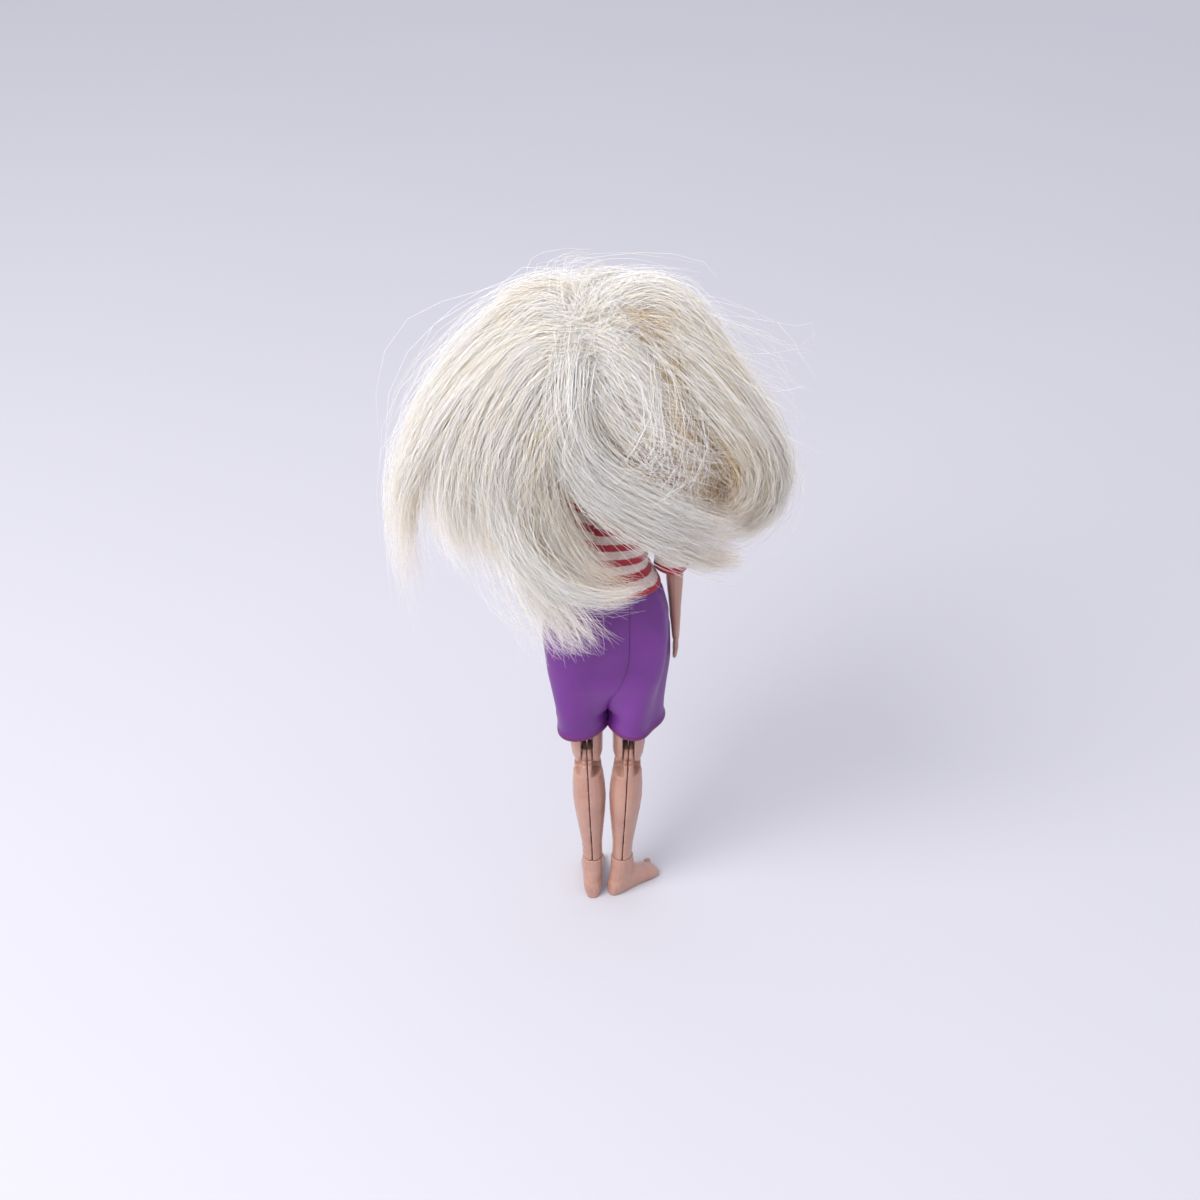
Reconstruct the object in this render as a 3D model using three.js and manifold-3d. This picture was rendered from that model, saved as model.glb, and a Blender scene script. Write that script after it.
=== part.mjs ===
// A jointed fashion doll, dressed in a striped top and satin shorts, standing on its bare feet.
// Millimetres, +Z up, facing -Y, so the doll's left side is +X. The origin is on the floor,
// in the middle of the doll's footprint.
import * as THREE from "three";
import { mergeVertices } from "three/addons/utils/BufferGeometryUtils.js";
import Module from "manifold-3d";

const wasm = await Module();
wasm.setup();

// Clearances and walls
const GAP = 0.3; // between neighbouring pieces, fixed or running
const BODY_WALL = 2.2; // moulded torso shells
const CLOTH = 0.8; // thickness of the knit and of the satin
const EASE = 0.8; // air between the body and the clothes over it

// Heights of the joints above the floor
const ANKLE_HEIGHT = 21;
const KNEE_HEIGHT = 83;
const HIP_HEIGHT = 141;
const WAIST_HEIGHT = 181;
const SHOULDER_HEIGHT = 231;
const NECK_LENGTH = 19; // from the shoulders to the neck's parting
const NECK_HEIGHT = SHOULDER_HEIGHT + NECK_LENGTH;
const HEAD_HEIGHT = 42; // from the neck's parting to the crown
const CROWN_HEIGHT = NECK_HEIGHT + HEAD_HEIGHT;

// Distances of the joints from the centre plane
const ANKLE_SPREAD = 6.8;
const KNEE_SPREAD = 9.2;
const HIP_SPREAD = 11.6;
const SHOULDER_SPREAD = 20.3;

// Torso half sizes
const HIP_SIDE = 21.5;
const HIP_FRONT = 12.6;
const HIP_BACK = 14.3;
const WAIST_SIDE = 14.8;
const WAIST_DEPTH = 10;
const RIB_SIDE = 17.4;
const RIB_BACK = 11.3;
const BUST_FRONT = 16.6;
const SHOULDER_DEPTH = 10.2;
const NECK_RADIUS = 5.6;

// Head half sizes
const HEAD_SIDE = 16;
const HEAD_FRONT = 16.5;
const HEAD_BACK = 19.5;
const HEAD_WALL = 2.6;
const HEAD_TURN = 35; // degrees to the doll's right

// Leg half sizes
const THIGH_SIDE = 9.9;
const KNEE_SIDE = 5.9;
const THIGH_END_SIDE = 7; // at the knee, where the thigh is wider than the lower leg
const KNEE_DEPTH = 7.2;
const CALF_SIDE = 7.6;
const CALF_BACK = 9;
const SHIN_FRONT = 6.4;
const ANKLE_SIDE = 4.6;
const ANKLE_DEPTH = 5.2;

// Foot
const FOOT_LENGTH = 28.4;
const HEEL_BEHIND_ANKLE = 7.2;
const FOOT_SIDE = 5.6;
const INSTEP_HEIGHT = 13;
const TOE_HEIGHT = 4.6;
const TOES = 5;
const LEFT_FOOT_TURN = 0; // degrees outwards
const RIGHT_FOOT_TURN = 52;

// Arm lengths, half sizes and swing at rest
const UPPER_ARM_LENGTH = 43;
const FOREARM_LENGTH = 38;
const HAND_LENGTH = 24;
const ARM_OFFSET = 5.4; // from the shoulder's flat face to the middle of the arm
const ARM_FLARE = 3; // how far the hand hangs further out than the shoulder
const UPPER_ARM_SIDE = 4.9;
const ELBOW_SIDE = 4.1;
const WRIST_SIDE = 2.6;
const FINGER_RADIUS = 1.15;
const FINGERS = 4;
const LEFT_ARM_SWING = 50; // degrees forwards
const RIGHT_ARM_SWING = 5;

// Stance
const LEAN = 2.2; // degrees forwards, so that the weight is over the middle of the feet

// Pegs and pins
const PEG_RADIUS = 2;
const FLANGE_RADIUS = 3.4;
const FLANGE_THICKNESS = 1.3;
const WAIST_PEG_RADIUS = 3.4;
const WAIST_FLANGE_RADIUS = 5.6;
const NECK_PEG_RADIUS = 3.2;
const NECK_FLANGE_RADIUS = 5.4;
const WAIST_DECK = 3; // wall on each side of the waist parting
const NECK_PEG_DEPTH = 7;
const HIP_RADIUS = 10.6; // ball at the top of the thigh
const CROTCH_HALF = 3.7; // half width of the body between the legs
const CROTCH_RADIUS = 11;
const SHOULDER_RADIUS = 6.3;
const SHOULDER_WALL = 2.6; // flat wall that the shoulder peg turns in

// Pinned hinges: the upper limb ends in a fork, the lower limb in a tongue
const KNEE = {
  cheek: 5.6,
  slot: 5.2,
  slotRise: 15,
  slotDepth: 4.9,
  tongue: 4.4,
  tongueRadius: 4.5,
  lip: 3.2,
  ledge: 11,
  notch: 2,
  pin: 1.2,
  pinHalf: 4.6,
  fold: 1,
};
const ELBOW = {
  cheek: 3.3,
  slot: 2.9,
  slotRise: 9,
  slotDepth: 2.9,
  tongue: 2.2,
  tongueRadius: 2.6,
  lip: 2,
  ledge: 6.4,
  notch: 1.2,
  pin: 0.8,
  pinHalf: 3.2,
  fold: -1,
};

// Striped top
const SHIRT_HEM_BELOW_WAIST = 8;
const NECKLINE_ABOVE_SHOULDER = 9;
const BACK_EASE = 2.2; // room for the closing tapes at the back
const HEM_FLARE = 3.4;
const CLOSURE_X = 5.6; // edge of the overlapping back panel
const CLOSURE_SLIT = 0.5;
const TAPE_WIDTH = 7;
const TAPE_THICKNESS = 0.5;
const SLEEVE_PAST_ELBOW = 9;
const SLEEVE_FLARE = 0.5;

// Satin shorts
const SHORTS_BELOW_WAIST = 5;
const SHORTS_HEM_HEIGHT = 99.5;
const SHORTS_SIDE = 26.4;
const SHORTS_FRONT = 16.5;
const SHORTS_BACK = 19;
const SHORTS_CROTCH_HEIGHT = 116;
const LEG_OPENING_SIDE = 11.1;
const LEG_OPENING_DEPTH = 13.5;
const FOLDS_PER_LEG = 5;
const FOLD_DEPTH = 0.7;
const ELASTIC_WIDTH = 4;
const ELASTIC_THICKNESS = 0.7;

// Hair: the cap on the scalp and the loose falls
const HAIR_CAP = 4.2; // thickness over the scalp
const HAIR_SWELL = 2; // extra thickness at the back of the head
const CAP_SHIFT = 2; // of the cap's middle, behind and above the head's
const NAPE_ABOVE_NECK = 6;
const HAIR_REACH = 80; // sideways from the middle
const HAIR_BEHIND = 30; // behind the neck's axis
const HAIR_DROP = 120; // below the crown
const HAIRLINE_DROP = 11; // below the crown, over the forehead
const HAIRLINE_HALF = 12.5;

// Facets round each kind of piece
const LIMB_SIDES = 16;
const ARM_SIDES = 12;
const SHORTS_SIDES = 28;
const TORSO_SIDES = 20;
const ROUND_SIDES = 12;
const HAIR_SIDES = 12;
const HAIR_RINGS = 10;
const HEAD_AROUND = 24;
const HEAD_UP = 16;

const radians = THREE.MathUtils.degToRad;
const mix = THREE.MathUtils.lerp;
const FAR = 400; // longer than anything that is cut
const FINEST = 0.02; // smaller details, which only cuts leave, are merged away

// Materials, one for each finish
const finish = (color, roughness, metalness = 0) =>
  new THREE.MeshStandardMaterial({ color, roughness, metalness });
const skin = finish(0xd0957f, 0.42);
const pegPlastic = finish(0xe8ddd2, 0.5);
const steel = finish(0xb4b6ba, 0.3, 1);
const knit = finish(0xc8414a, 0.95);
const satin = finish(0x6f2b96, 0.45);
const tapeWeave = finish(0xe9e6e0, 0.95);
const elasticWeave = finish(0xf0eee8, 0.9);
const fibre = finish(0xeadfc6, 0.5);

// Geometry helpers

// One outline of a loft: height, half sizes to the side, front and back, and centre.
const station = (z, side, front, back = front, x = 0, y = 0) => ({ z, side, front, back, x, y });

const grown = (stations, by) =>
  stations.map((s) => ({ ...s, side: s.side + by, front: s.front + by, back: s.back + by }));

// A closed skin through stacked outlines, lowest first. ripple gives an outline wavy folds.
function loft(stations, sides, ripple = () => 0) {
  const positions = [];
  const index = [];
  for (const s of stations) {
    for (let i = 0; i < sides; i++) {
      const angle = (i / sides) * 2 * Math.PI;
      const fold = ripple(angle, s);
      const across = Math.cos(angle) * (s.side + fold);
      const along = Math.sin(angle) * ((angle > Math.PI ? s.front : s.back) + fold);
      positions.push(s.x + across, s.y + along, s.z);
    }
  }
  const first = stations[0];
  const last = stations[stations.length - 1];
  const bottom = positions.length / 3;
  positions.push(first.x, first.y, first.z, last.x, last.y, last.z);
  const top = (stations.length - 1) * sides;
  for (let i = 0; i < sides; i++) {
    const next = (i + 1) % sides;
    for (let ring = 0; ring < top; ring += sides) {
      index.push(ring + i, ring + next, ring + sides + next);
      index.push(ring + i, ring + sides + next, ring + sides + i);
    }
    index.push(bottom, next, i);
    index.push(bottom + 1, top + i, top + next);
  }
  const geometry = new THREE.BufferGeometry();
  geometry.setAttribute("position", new THREE.Float32BufferAttribute(positions, 3));
  geometry.setIndex(index);
  return geometry;
}

// A closed geometry as a solid that can be joined and cut.
function solidOf(geometry) {
  const bare = geometry.clone();
  bare.deleteAttribute("normal");
  bare.deleteAttribute("uv");
  const merged = mergeVertices(bare, 1e-4);
  const corners = [];
  for (let i = 0; i < merged.index.count; i += 3) {
    const [a, b, c] = [0, 1, 2].map((k) => merged.index.getX(i + k));
    if (a !== b && b !== c && a !== c) corners.push(a, b, c);
  }
  const vertProperties = new Float32Array(merged.attributes.position.array);
  const triVerts = new Uint32Array(corners);
  return new wasm.Manifold(new wasm.Mesh({ numProp: 3, vertProperties, triVerts }));
}

function geometryOf(solid) {
  const mesh = solid.getMesh();
  const geometry = new THREE.BufferGeometry();
  geometry.setAttribute("position", new THREE.Float32BufferAttribute(mesh.vertProperties, 3));
  geometry.setIndex(new THREE.BufferAttribute(new Uint32Array(mesh.triVerts), 1));
  geometry.computeVertexNormals();
  return geometry;
}

const lofted = (stations, sides, ripple) => solidOf(loft(stations, sides, ripple));

function block(x0, x1, y0, y1, z0, z1) {
  const box = new THREE.BoxGeometry(x1 - x0, y1 - y0, z1 - z0);
  return solidOf(box.translate((x0 + x1) / 2, (y0 + y1) / 2, (z0 + z1) / 2));
}

// A round bar along X, its axis at y = 0 and the given height.
function rodX(radius, from, to, z, sides = ROUND_SIDES) {
  const bar = new THREE.CylinderGeometry(radius, radius, Math.abs(to - from), sides);
  return solidOf(bar.rotateZ(Math.PI / 2).translate((from + to) / 2, 0, z));
}

// A round bar along Z.
function rodZ(radius, from, to, x = 0, sides = ROUND_SIDES) {
  const bar = new THREE.CylinderGeometry(radius, radius, to - from, sides);
  return solidOf(bar.rotateX(Math.PI / 2).translate(x, 0, (from + to) / 2));
}

function ellipsoid(x, y, z, rx, ry, rz, around = ROUND_SIDES, up = 10) {
  const ball = new THREE.SphereGeometry(1, around, up).rotateX(Math.PI / 2);
  return solidOf(ball.scale(rx, ry, rz).translate(x, y, z));
}

// A turned piece along Z from a profile of [radius, height] points that starts and ends on the axis.
function turned(profile, x = 0) {
  const points = profile.map(([r, z]) => new THREE.Vector2(r, z));
  return solidOf(new THREE.LatheGeometry(points, ROUND_SIDES).rotateX(Math.PI / 2).translate(x, 0, 0));
}

// The part of a solid in front of, or behind, the plane y = 0, less half a clearance.
const frontHalf = (solid) => solid.subtract(block(-FAR, FAR, -GAP / 2, FAR, -FAR, FAR));
const backHalf = (solid) => solid.subtract(block(-FAR, FAR, -FAR, GAP / 2, -FAR, FAR));

// The part of a solid to the +X or -X side of a plane, less half a clearance.
const sideOf = (solid, x, hand) =>
  hand > 0
    ? solid.subtract(block(-FAR, x + GAP / 2, -FAR, FAR, -FAR, FAR))
    : solid.subtract(block(x - GAP / 2, FAR, -FAR, FAR, -FAR, FAR));

// The largest body of a solid, without slivers that a cut has left.
const mainBody = (solid) => solid.decompose().sort((a, b) => b.volume() - a.volume())[0];

function piece(name, solid, material) {
  const mesh = new THREE.Mesh(geometryOf(solid.asOriginal().simplify(FINEST)), material.clone());
  mesh.name = name;
  return mesh;
}

function joint(name, x, y, z) {
  const group = new THREE.Group();
  group.name = name;
  group.position.set(x, y, z);
  return group;
}

// Torso outlines from the hips to the neck, at heights that follow the joints
const neckAt = (share) => mix(SHOULDER_HEIGHT, NECK_HEIGHT, share);
const TORSO = [
  station(HIP_HEIGHT, HIP_SIDE, HIP_FRONT, HIP_BACK),
  station(HIP_HEIGHT + 10, HIP_SIDE - 0.3, HIP_FRONT, HIP_BACK - 0.4),
  station(mix(HIP_HEIGHT, WAIST_HEIGHT, 0.56), mix(HIP_SIDE, WAIST_SIDE, 0.45), 12, 12.2),
  station(WAIST_HEIGHT - 6, WAIST_SIDE + 0.8, WAIST_DEPTH + 0.6, WAIST_DEPTH + 0.5),
  station(WAIST_HEIGHT, WAIST_SIDE, WAIST_DEPTH),
  station(WAIST_HEIGHT + 8, WAIST_SIDE + 0.3, WAIST_DEPTH + 0.6, WAIST_DEPTH + 0.2),
  station(mix(WAIST_HEIGHT, SHOULDER_HEIGHT, 0.45), RIB_SIDE - 0.7, 12.8, RIB_BACK - 0.3),
  station(mix(WAIST_HEIGHT, SHOULDER_HEIGHT, 0.6), RIB_SIDE, BUST_FRONT - 1, RIB_BACK),
  station(mix(WAIST_HEIGHT, SHOULDER_HEIGHT, 0.72), RIB_SIDE, BUST_FRONT, RIB_BACK),
  station(mix(WAIST_HEIGHT, SHOULDER_HEIGHT, 0.86), RIB_SIDE + 1, 13.2, RIB_BACK - 0.4),
  station(SHOULDER_HEIGHT, SHOULDER_SPREAD + 0.2, SHOULDER_DEPTH),
  station(neckAt(0.24), SHOULDER_SPREAD * 0.95, SHOULDER_DEPTH * 0.82, SHOULDER_DEPTH * 0.85),
  station(neckAt(0.42), SHOULDER_SPREAD * 0.7, SHOULDER_DEPTH * 0.69, SHOULDER_DEPTH * 0.75),
  station(neckAt(0.55), NECK_RADIUS * 1.6, NECK_RADIUS * 1.1, NECK_RADIUS * 1.2),
  station(neckAt(0.68), NECK_RADIUS * 1.1, NECK_RADIUS, NECK_RADIUS),
  station(NECK_HEIGHT, NECK_RADIUS, NECK_RADIUS),
];

// The torso's outline at any height, made larger by a side, front and back allowance.
function torsoAt(z, side = 0, front = side, back = front) {
  const above = TORSO.findIndex((s) => s.z >= z);
  const high = TORSO[Math.max(above, 1)];
  const low = TORSO[Math.max(above, 1) - 1];
  const share = THREE.MathUtils.clamp((z - low.z) / (high.z - low.z), 0, 1);
  return station(
    z,
    mix(low.side, high.side, share) + side,
    mix(low.front, high.front, share) + front,
    mix(low.back, high.back, share) + back,
  );
}

const torsoBetween = (from, to) => [
  torsoAt(from),
  ...TORSO.filter((s) => s.z > from + 0.5 && s.z < to - 0.5),
  torsoAt(to),
];

// Hinges between two limbs

// The upper limb's end: round cheeks about the pin, with a slot between them for the tongue.
function forked(limb, hinge, x, z, pinFrom, pinTo) {
  const { cheek, slot, slotRise, slotDepth, lip, pin, fold } = hinge;
  const inside = fold > 0 ? [0, FAR] : [-FAR, 0];
  const outside = fold > 0 ? [-FAR, 0] : [0, FAR];
  const deep = fold > 0 ? [-slotDepth, FAR] : [-FAR, slotDepth];
  const lipTop = z + lip + GAP;
  const round = limb.intersect(rodX(cheek, -FAR, FAR, z, 20));
  return limb
    .subtract(block(-FAR, FAR, ...inside, -FAR, z))
    .subtract(block(-FAR, FAR, ...outside, -FAR, lipTop))
    .add(round)
    .subtract(block(x - slot / 2, x + slot / 2, -FAR, FAR, -FAR, lipTop))
    .subtract(block(x - slot / 2, x + slot / 2, ...deep, -FAR, z + slotRise))
    .subtract(rodX(pin + GAP, pinFrom, pinTo, z));
}

// The lower limb's end: a tongue about the pin, a lip over the cheeks and a notch they fold into.
function tongued(limb, hinge, x, z) {
  const { cheek, tongue, tongueRadius, ledge, notch, pin, fold } = hinge;
  const inside = fold > 0 ? [0, FAR] : [-FAR, 0];
  const fromNotch = fold > 0 ? [-notch, FAR] : [-FAR, notch];
  const middle = block(x - tongue / 2, x + tongue / 2, -FAR, FAR, -FAR, FAR);
  const cheeks = rodX(cheek + GAP, -FAR, FAR, z, 20)
    .add(block(-FAR, FAR, ...fromNotch, z - ledge, FAR))
    .subtract(middle);
  const corner = block(-FAR, FAR, ...inside, z - tongueRadius, FAR).subtract(
    rodX(cheek, -FAR, FAR, z, 20),
  );
  return limb
    .subtract(cheeks)
    .subtract(corner)
    .add(rodX(tongueRadius, x - tongue / 2, x + tongue / 2, z, 20))
    .subtract(rodX(pin + GAP, -FAR, FAR, z));
}

// Lower torso

const pelvisDeck = WAIST_HEIGHT - GAP / 2;
const thighClear = HIP_RADIUS + GAP; // from the hip axis to the body round it

function pelvis() {
  const low = HIP_HEIGHT + HIP_RADIUS / 2;
  const hollowTop = pelvisDeck - WAIST_DECK;
  const hollowLow = HIP_HEIGHT + HIP_RADIUS + BODY_WALL;
  const hips = lofted(torsoBetween(low, pelvisDeck), TORSO_SIDES)
    .subtract(block(-FAR, FAR, -FAR, -2, -FAR, HIP_HEIGHT + thighClear))
    .subtract(ellipsoid(HIP_SPREAD, 0, HIP_HEIGHT, thighClear, thighClear, thighClear, 16, 12))
    .subtract(ellipsoid(-HIP_SPREAD, 0, HIP_HEIGHT, thighClear, thighClear, thighClear, 16, 12));
  const crotchTop = HIP_HEIGHT + HIP_RADIUS + 2;
  const crotch = rodX(CROTCH_RADIUS, -CROTCH_HALF, CROTCH_HALF, HIP_HEIGHT, 24).add(
    block(-CROTCH_HALF, CROTCH_HALF, -8, 8, HIP_HEIGHT, crotchTop),
  );
  const hollowHalf = CROTCH_HALF - 1.6;
  return hips
    .add(crotch)
    .subtract(lofted(grown(torsoBetween(hollowLow, hollowTop), -BODY_WALL), TORSO_SIDES))
    .subtract(block(-hollowHalf, hollowHalf, -7, 7, HIP_HEIGHT - 7, hollowLow + 1))
    .subtract(rodX(PEG_RADIUS + GAP, -FAR, FAR, HIP_HEIGHT))
    .subtract(rodZ(WAIST_PEG_RADIUS + GAP, hollowTop - 1, FAR));
}

// The spool that holds the upper and lower torso together and lets them turn
function waistPeg() {
  const lowDeck = pelvisDeck - WAIST_DECK - GAP;
  const highDeck = WAIST_HEIGHT + GAP / 2 + WAIST_DECK + GAP;
  return turned([
    [0, lowDeck - FLANGE_THICKNESS],
    [WAIST_FLANGE_RADIUS, lowDeck - FLANGE_THICKNESS],
    [WAIST_FLANGE_RADIUS, lowDeck],
    [WAIST_PEG_RADIUS, lowDeck],
    [WAIST_PEG_RADIUS, highDeck],
    [WAIST_FLANGE_RADIUS, highDeck],
    [WAIST_FLANGE_RADIUS, highDeck + FLANGE_THICKNESS],
    [0, highDeck + FLANGE_THICKNESS],
  ]);
}

// Upper torso, with the neck

function chest() {
  const deck = WAIST_HEIGHT + GAP / 2;
  const flat = SHOULDER_SPREAD;
  const hollowTop = SHOULDER_HEIGHT + 6;
  const flangeSeat = SHOULDER_SPREAD - SHOULDER_WALL;
  return lofted(torsoBetween(deck, NECK_HEIGHT), TORSO_SIDES)
    .subtract(block(flat, FAR, -FAR, FAR, -FAR, FAR))
    .subtract(block(-FAR, -flat, -FAR, FAR, -FAR, FAR))
    .subtract(lofted(grown(torsoBetween(deck + WAIST_DECK, hollowTop), -BODY_WALL), TORSO_SIDES))
    .subtract(rodX(PEG_RADIUS + GAP, -FAR, FAR, SHOULDER_HEIGHT))
    .subtract(rodX(FLANGE_RADIUS + GAP, -flangeSeat, flangeSeat, SHOULDER_HEIGHT))
    .subtract(rodZ(WAIST_PEG_RADIUS + GAP, 0, deck + WAIST_DECK + 1))
    .subtract(rodZ(NECK_PEG_RADIUS + GAP, NECK_HEIGHT - NECK_PEG_DEPTH, FAR));
}

const neckRim = NECK_HEIGHT + GAP; // underside of the rim inside the head
const neckRimTop = neckRim + 2;

function neckPeg() {
  const flange = neckRimTop + GAP;
  return turned([
    [0, NECK_HEIGHT - NECK_PEG_DEPTH + GAP],
    [NECK_PEG_RADIUS, NECK_HEIGHT - NECK_PEG_DEPTH + GAP],
    [NECK_PEG_RADIUS, flange],
    [NECK_FLANGE_RADIUS, flange],
    [NECK_FLANGE_RADIUS - 0.8, flange + FLANGE_THICKNESS + 0.7],
    [0, flange + FLANGE_THICKNESS + 0.7],
  ]);
}

// Head: an egg with a modelled face, hollow, with a rimmed hole that snaps over the neck peg

const HEAD_HALF = (CROWN_HEIGHT - NECK_HEIGHT + 1.5) / 2;
const HEAD_MIDDLE = CROWN_HEIGHT - HEAD_HALF;

// Soft swellings of the face: sideways place, height, amount, and spread across and up.
const faceAt = (share) => HEAD_MIDDLE + share * HEAD_HALF;
const FACE = [
  [0, faceAt(-0.17), 2.6, 1.6, 2.4], // nose tip
  [0, faceAt(0.03), 1, 1.4, 4], // nose bridge
  [0, faceAt(-0.42), 1.1, 3.4, 1.1], // upper lip
  [0, faceAt(-0.51), 1, 2.8, 1], // lower lip
  [0, faceAt(-0.74), 1.6, 3.8, 2.4], // chin
  [6.2, faceAt(0.02), -1.3, 3, 2.4], // eye sockets
  [-6.2, faceAt(0.02), -1.3, 3, 2.4],
  [8, faceAt(-0.28), 0.7, 4, 4], // cheeks
  [-8, faceAt(-0.28), 0.7, 4, 4],
];

function headSkin(around, up, face) {
  const egg = new THREE.SphereGeometry(1, around, up).rotateX(Math.PI / 2);
  const place = egg.attributes.position;
  for (let i = 0; i < place.count; i++) {
    const [x, y, z] = [place.getX(i), place.getY(i), place.getZ(i)];
    const low = THREE.MathUtils.smoothstep(-z, -0.15, 1);
    const across = x * HEAD_SIDE * (1 - 0.34 * low);
    const height = HEAD_MIDDLE + z * HEAD_HALF;
    let deep = y * (y < 0 ? HEAD_FRONT * (1 - 0.1 * low) : HEAD_BACK * (1 - 0.42 * low));
    const front = THREE.MathUtils.smoothstep(-y, 0.05, 0.4);
    for (const [faceX, faceZ, amount, wide, tall] of face) {
      const away = ((across - faceX) / wide) ** 2 + ((height - faceZ) / tall) ** 2;
      deep -= front * amount * Math.exp(-away);
    }
    place.setXYZ(i, across, deep, height);
  }
  return egg;
}

function head() {
  const hollowLow = neckRimTop;
  const hollow = ellipsoid(
    0,
    1,
    HEAD_MIDDLE + 1,
    HEAD_SIDE - HEAD_WALL,
    HEAD_FRONT - HEAD_WALL,
    HEAD_HALF - HEAD_WALL,
  )
    .add(rodZ(NECK_FLANGE_RADIUS + 1, hollowLow, HEAD_MIDDLE))
    .subtract(block(-FAR, FAR, -FAR, FAR, -FAR, hollowLow));
  return solidOf(headSkin(HEAD_AROUND, HEAD_UP, FACE))
    .subtract(hollow)
    .subtract(rodZ(NECK_RADIUS + 2 * GAP, 0, neckRim, 0, 24))
    .subtract(rodZ(NECK_PEG_RADIUS + GAP, 0, hollowLow + 1));
}

// Legs, hand +1 for the doll's left and -1 for its right

const legX = (z) =>
  z < KNEE_HEIGHT
    ? mix(ANKLE_SPREAD, KNEE_SPREAD, (z - ANKLE_HEIGHT) / (KNEE_HEIGHT - ANKLE_HEIGHT))
    : mix(KNEE_SPREAD, HIP_SPREAD, (z - KNEE_HEIGHT) / (HIP_HEIGHT - KNEE_HEIGHT));

// An outline on the leg's slightly sloping axis.
const legStation = (hand, z, side, front, back) => station(z, side, front, back, hand * legX(z));

const kneePinOut = KNEE_SPREAD + THIGH_END_SIDE - 0.4; // the pin's outer end, just below the skin
const kneePinIn = KNEE_SPREAD - KNEE.pinHalf;

function thigh(hand) {
  const up = (share) => mix(KNEE_HEIGHT, HIP_HEIGHT, share);
  const limb = lofted(
    [
      legStation(hand, KNEE_HEIGHT - KNEE.cheek - 1, THIGH_END_SIDE - 2, KNEE_DEPTH - 0.6, KNEE_DEPTH - 0.6),
      legStation(hand, KNEE_HEIGHT, THIGH_END_SIDE, KNEE_DEPTH, KNEE_DEPTH - 0.2),
      legStation(hand, up(0.12), THIGH_END_SIDE + 0.4, KNEE_DEPTH + 0.4, KNEE_DEPTH + 0.3),
      legStation(hand, up(0.26), mix(THIGH_END_SIDE, THIGH_SIDE, 0.28), KNEE_DEPTH + 1, KNEE_DEPTH + 0.9),
      legStation(hand, up(0.5), mix(THIGH_END_SIDE, THIGH_SIDE, 0.56), KNEE_DEPTH + 2.2, KNEE_DEPTH + 2.2),
      legStation(hand, up(0.76), THIGH_SIDE - 0.2, HIP_RADIUS - 0.5, HIP_RADIUS - 0.3),
      legStation(hand, up(0.9), THIGH_SIDE, HIP_RADIUS - 0.2, HIP_RADIUS - 0.2),
      legStation(hand, HIP_HEIGHT, THIGH_SIDE - 0.3, HIP_RADIUS - 0.3, HIP_RADIUS - 0.3),
    ],
    LIMB_SIDES,
  );
  const bodySide = hand * (CROTCH_HALF + GAP);
  const besideBody = rodX(CROTCH_RADIUS + GAP, bodySide, -hand * FAR, HIP_HEIGHT, 24);
  const pinSpan = [hand * (kneePinIn - GAP), hand * FAR];
  const bore = rodX(PEG_RADIUS + GAP, -hand * FAR, hand * (HIP_SPREAD + GAP), HIP_HEIGHT);
  const whole = limb
    .add(ellipsoid(hand * HIP_SPREAD, 0, HIP_HEIGHT, HIP_RADIUS, HIP_RADIUS, HIP_RADIUS, 16, 12))
    .subtract(besideBody)
    .subtract(bore);
  return forked(whole, KNEE, hand * KNEE_SPREAD, KNEE_HEIGHT, ...pinSpan);
}

function hipPeg(hand) {
  const inner = CROTCH_HALF - 1.6 - GAP; // the flange bears on the inside of the crotch wall
  return rodX(PEG_RADIUS, hand * (inner - FLANGE_THICKNESS), hand * HIP_SPREAD, HIP_HEIGHT).add(
    rodX(FLANGE_RADIUS, hand * (inner - FLANGE_THICKNESS), hand * inner, HIP_HEIGHT),
  );
}

const kneePin = (hand) => rodX(KNEE.pin, hand * kneePinIn, hand * kneePinOut, KNEE_HEIGHT);

const ankleFlangeLow = ANKLE_HEIGHT + 7;
const footPegDepth = 8;

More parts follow.
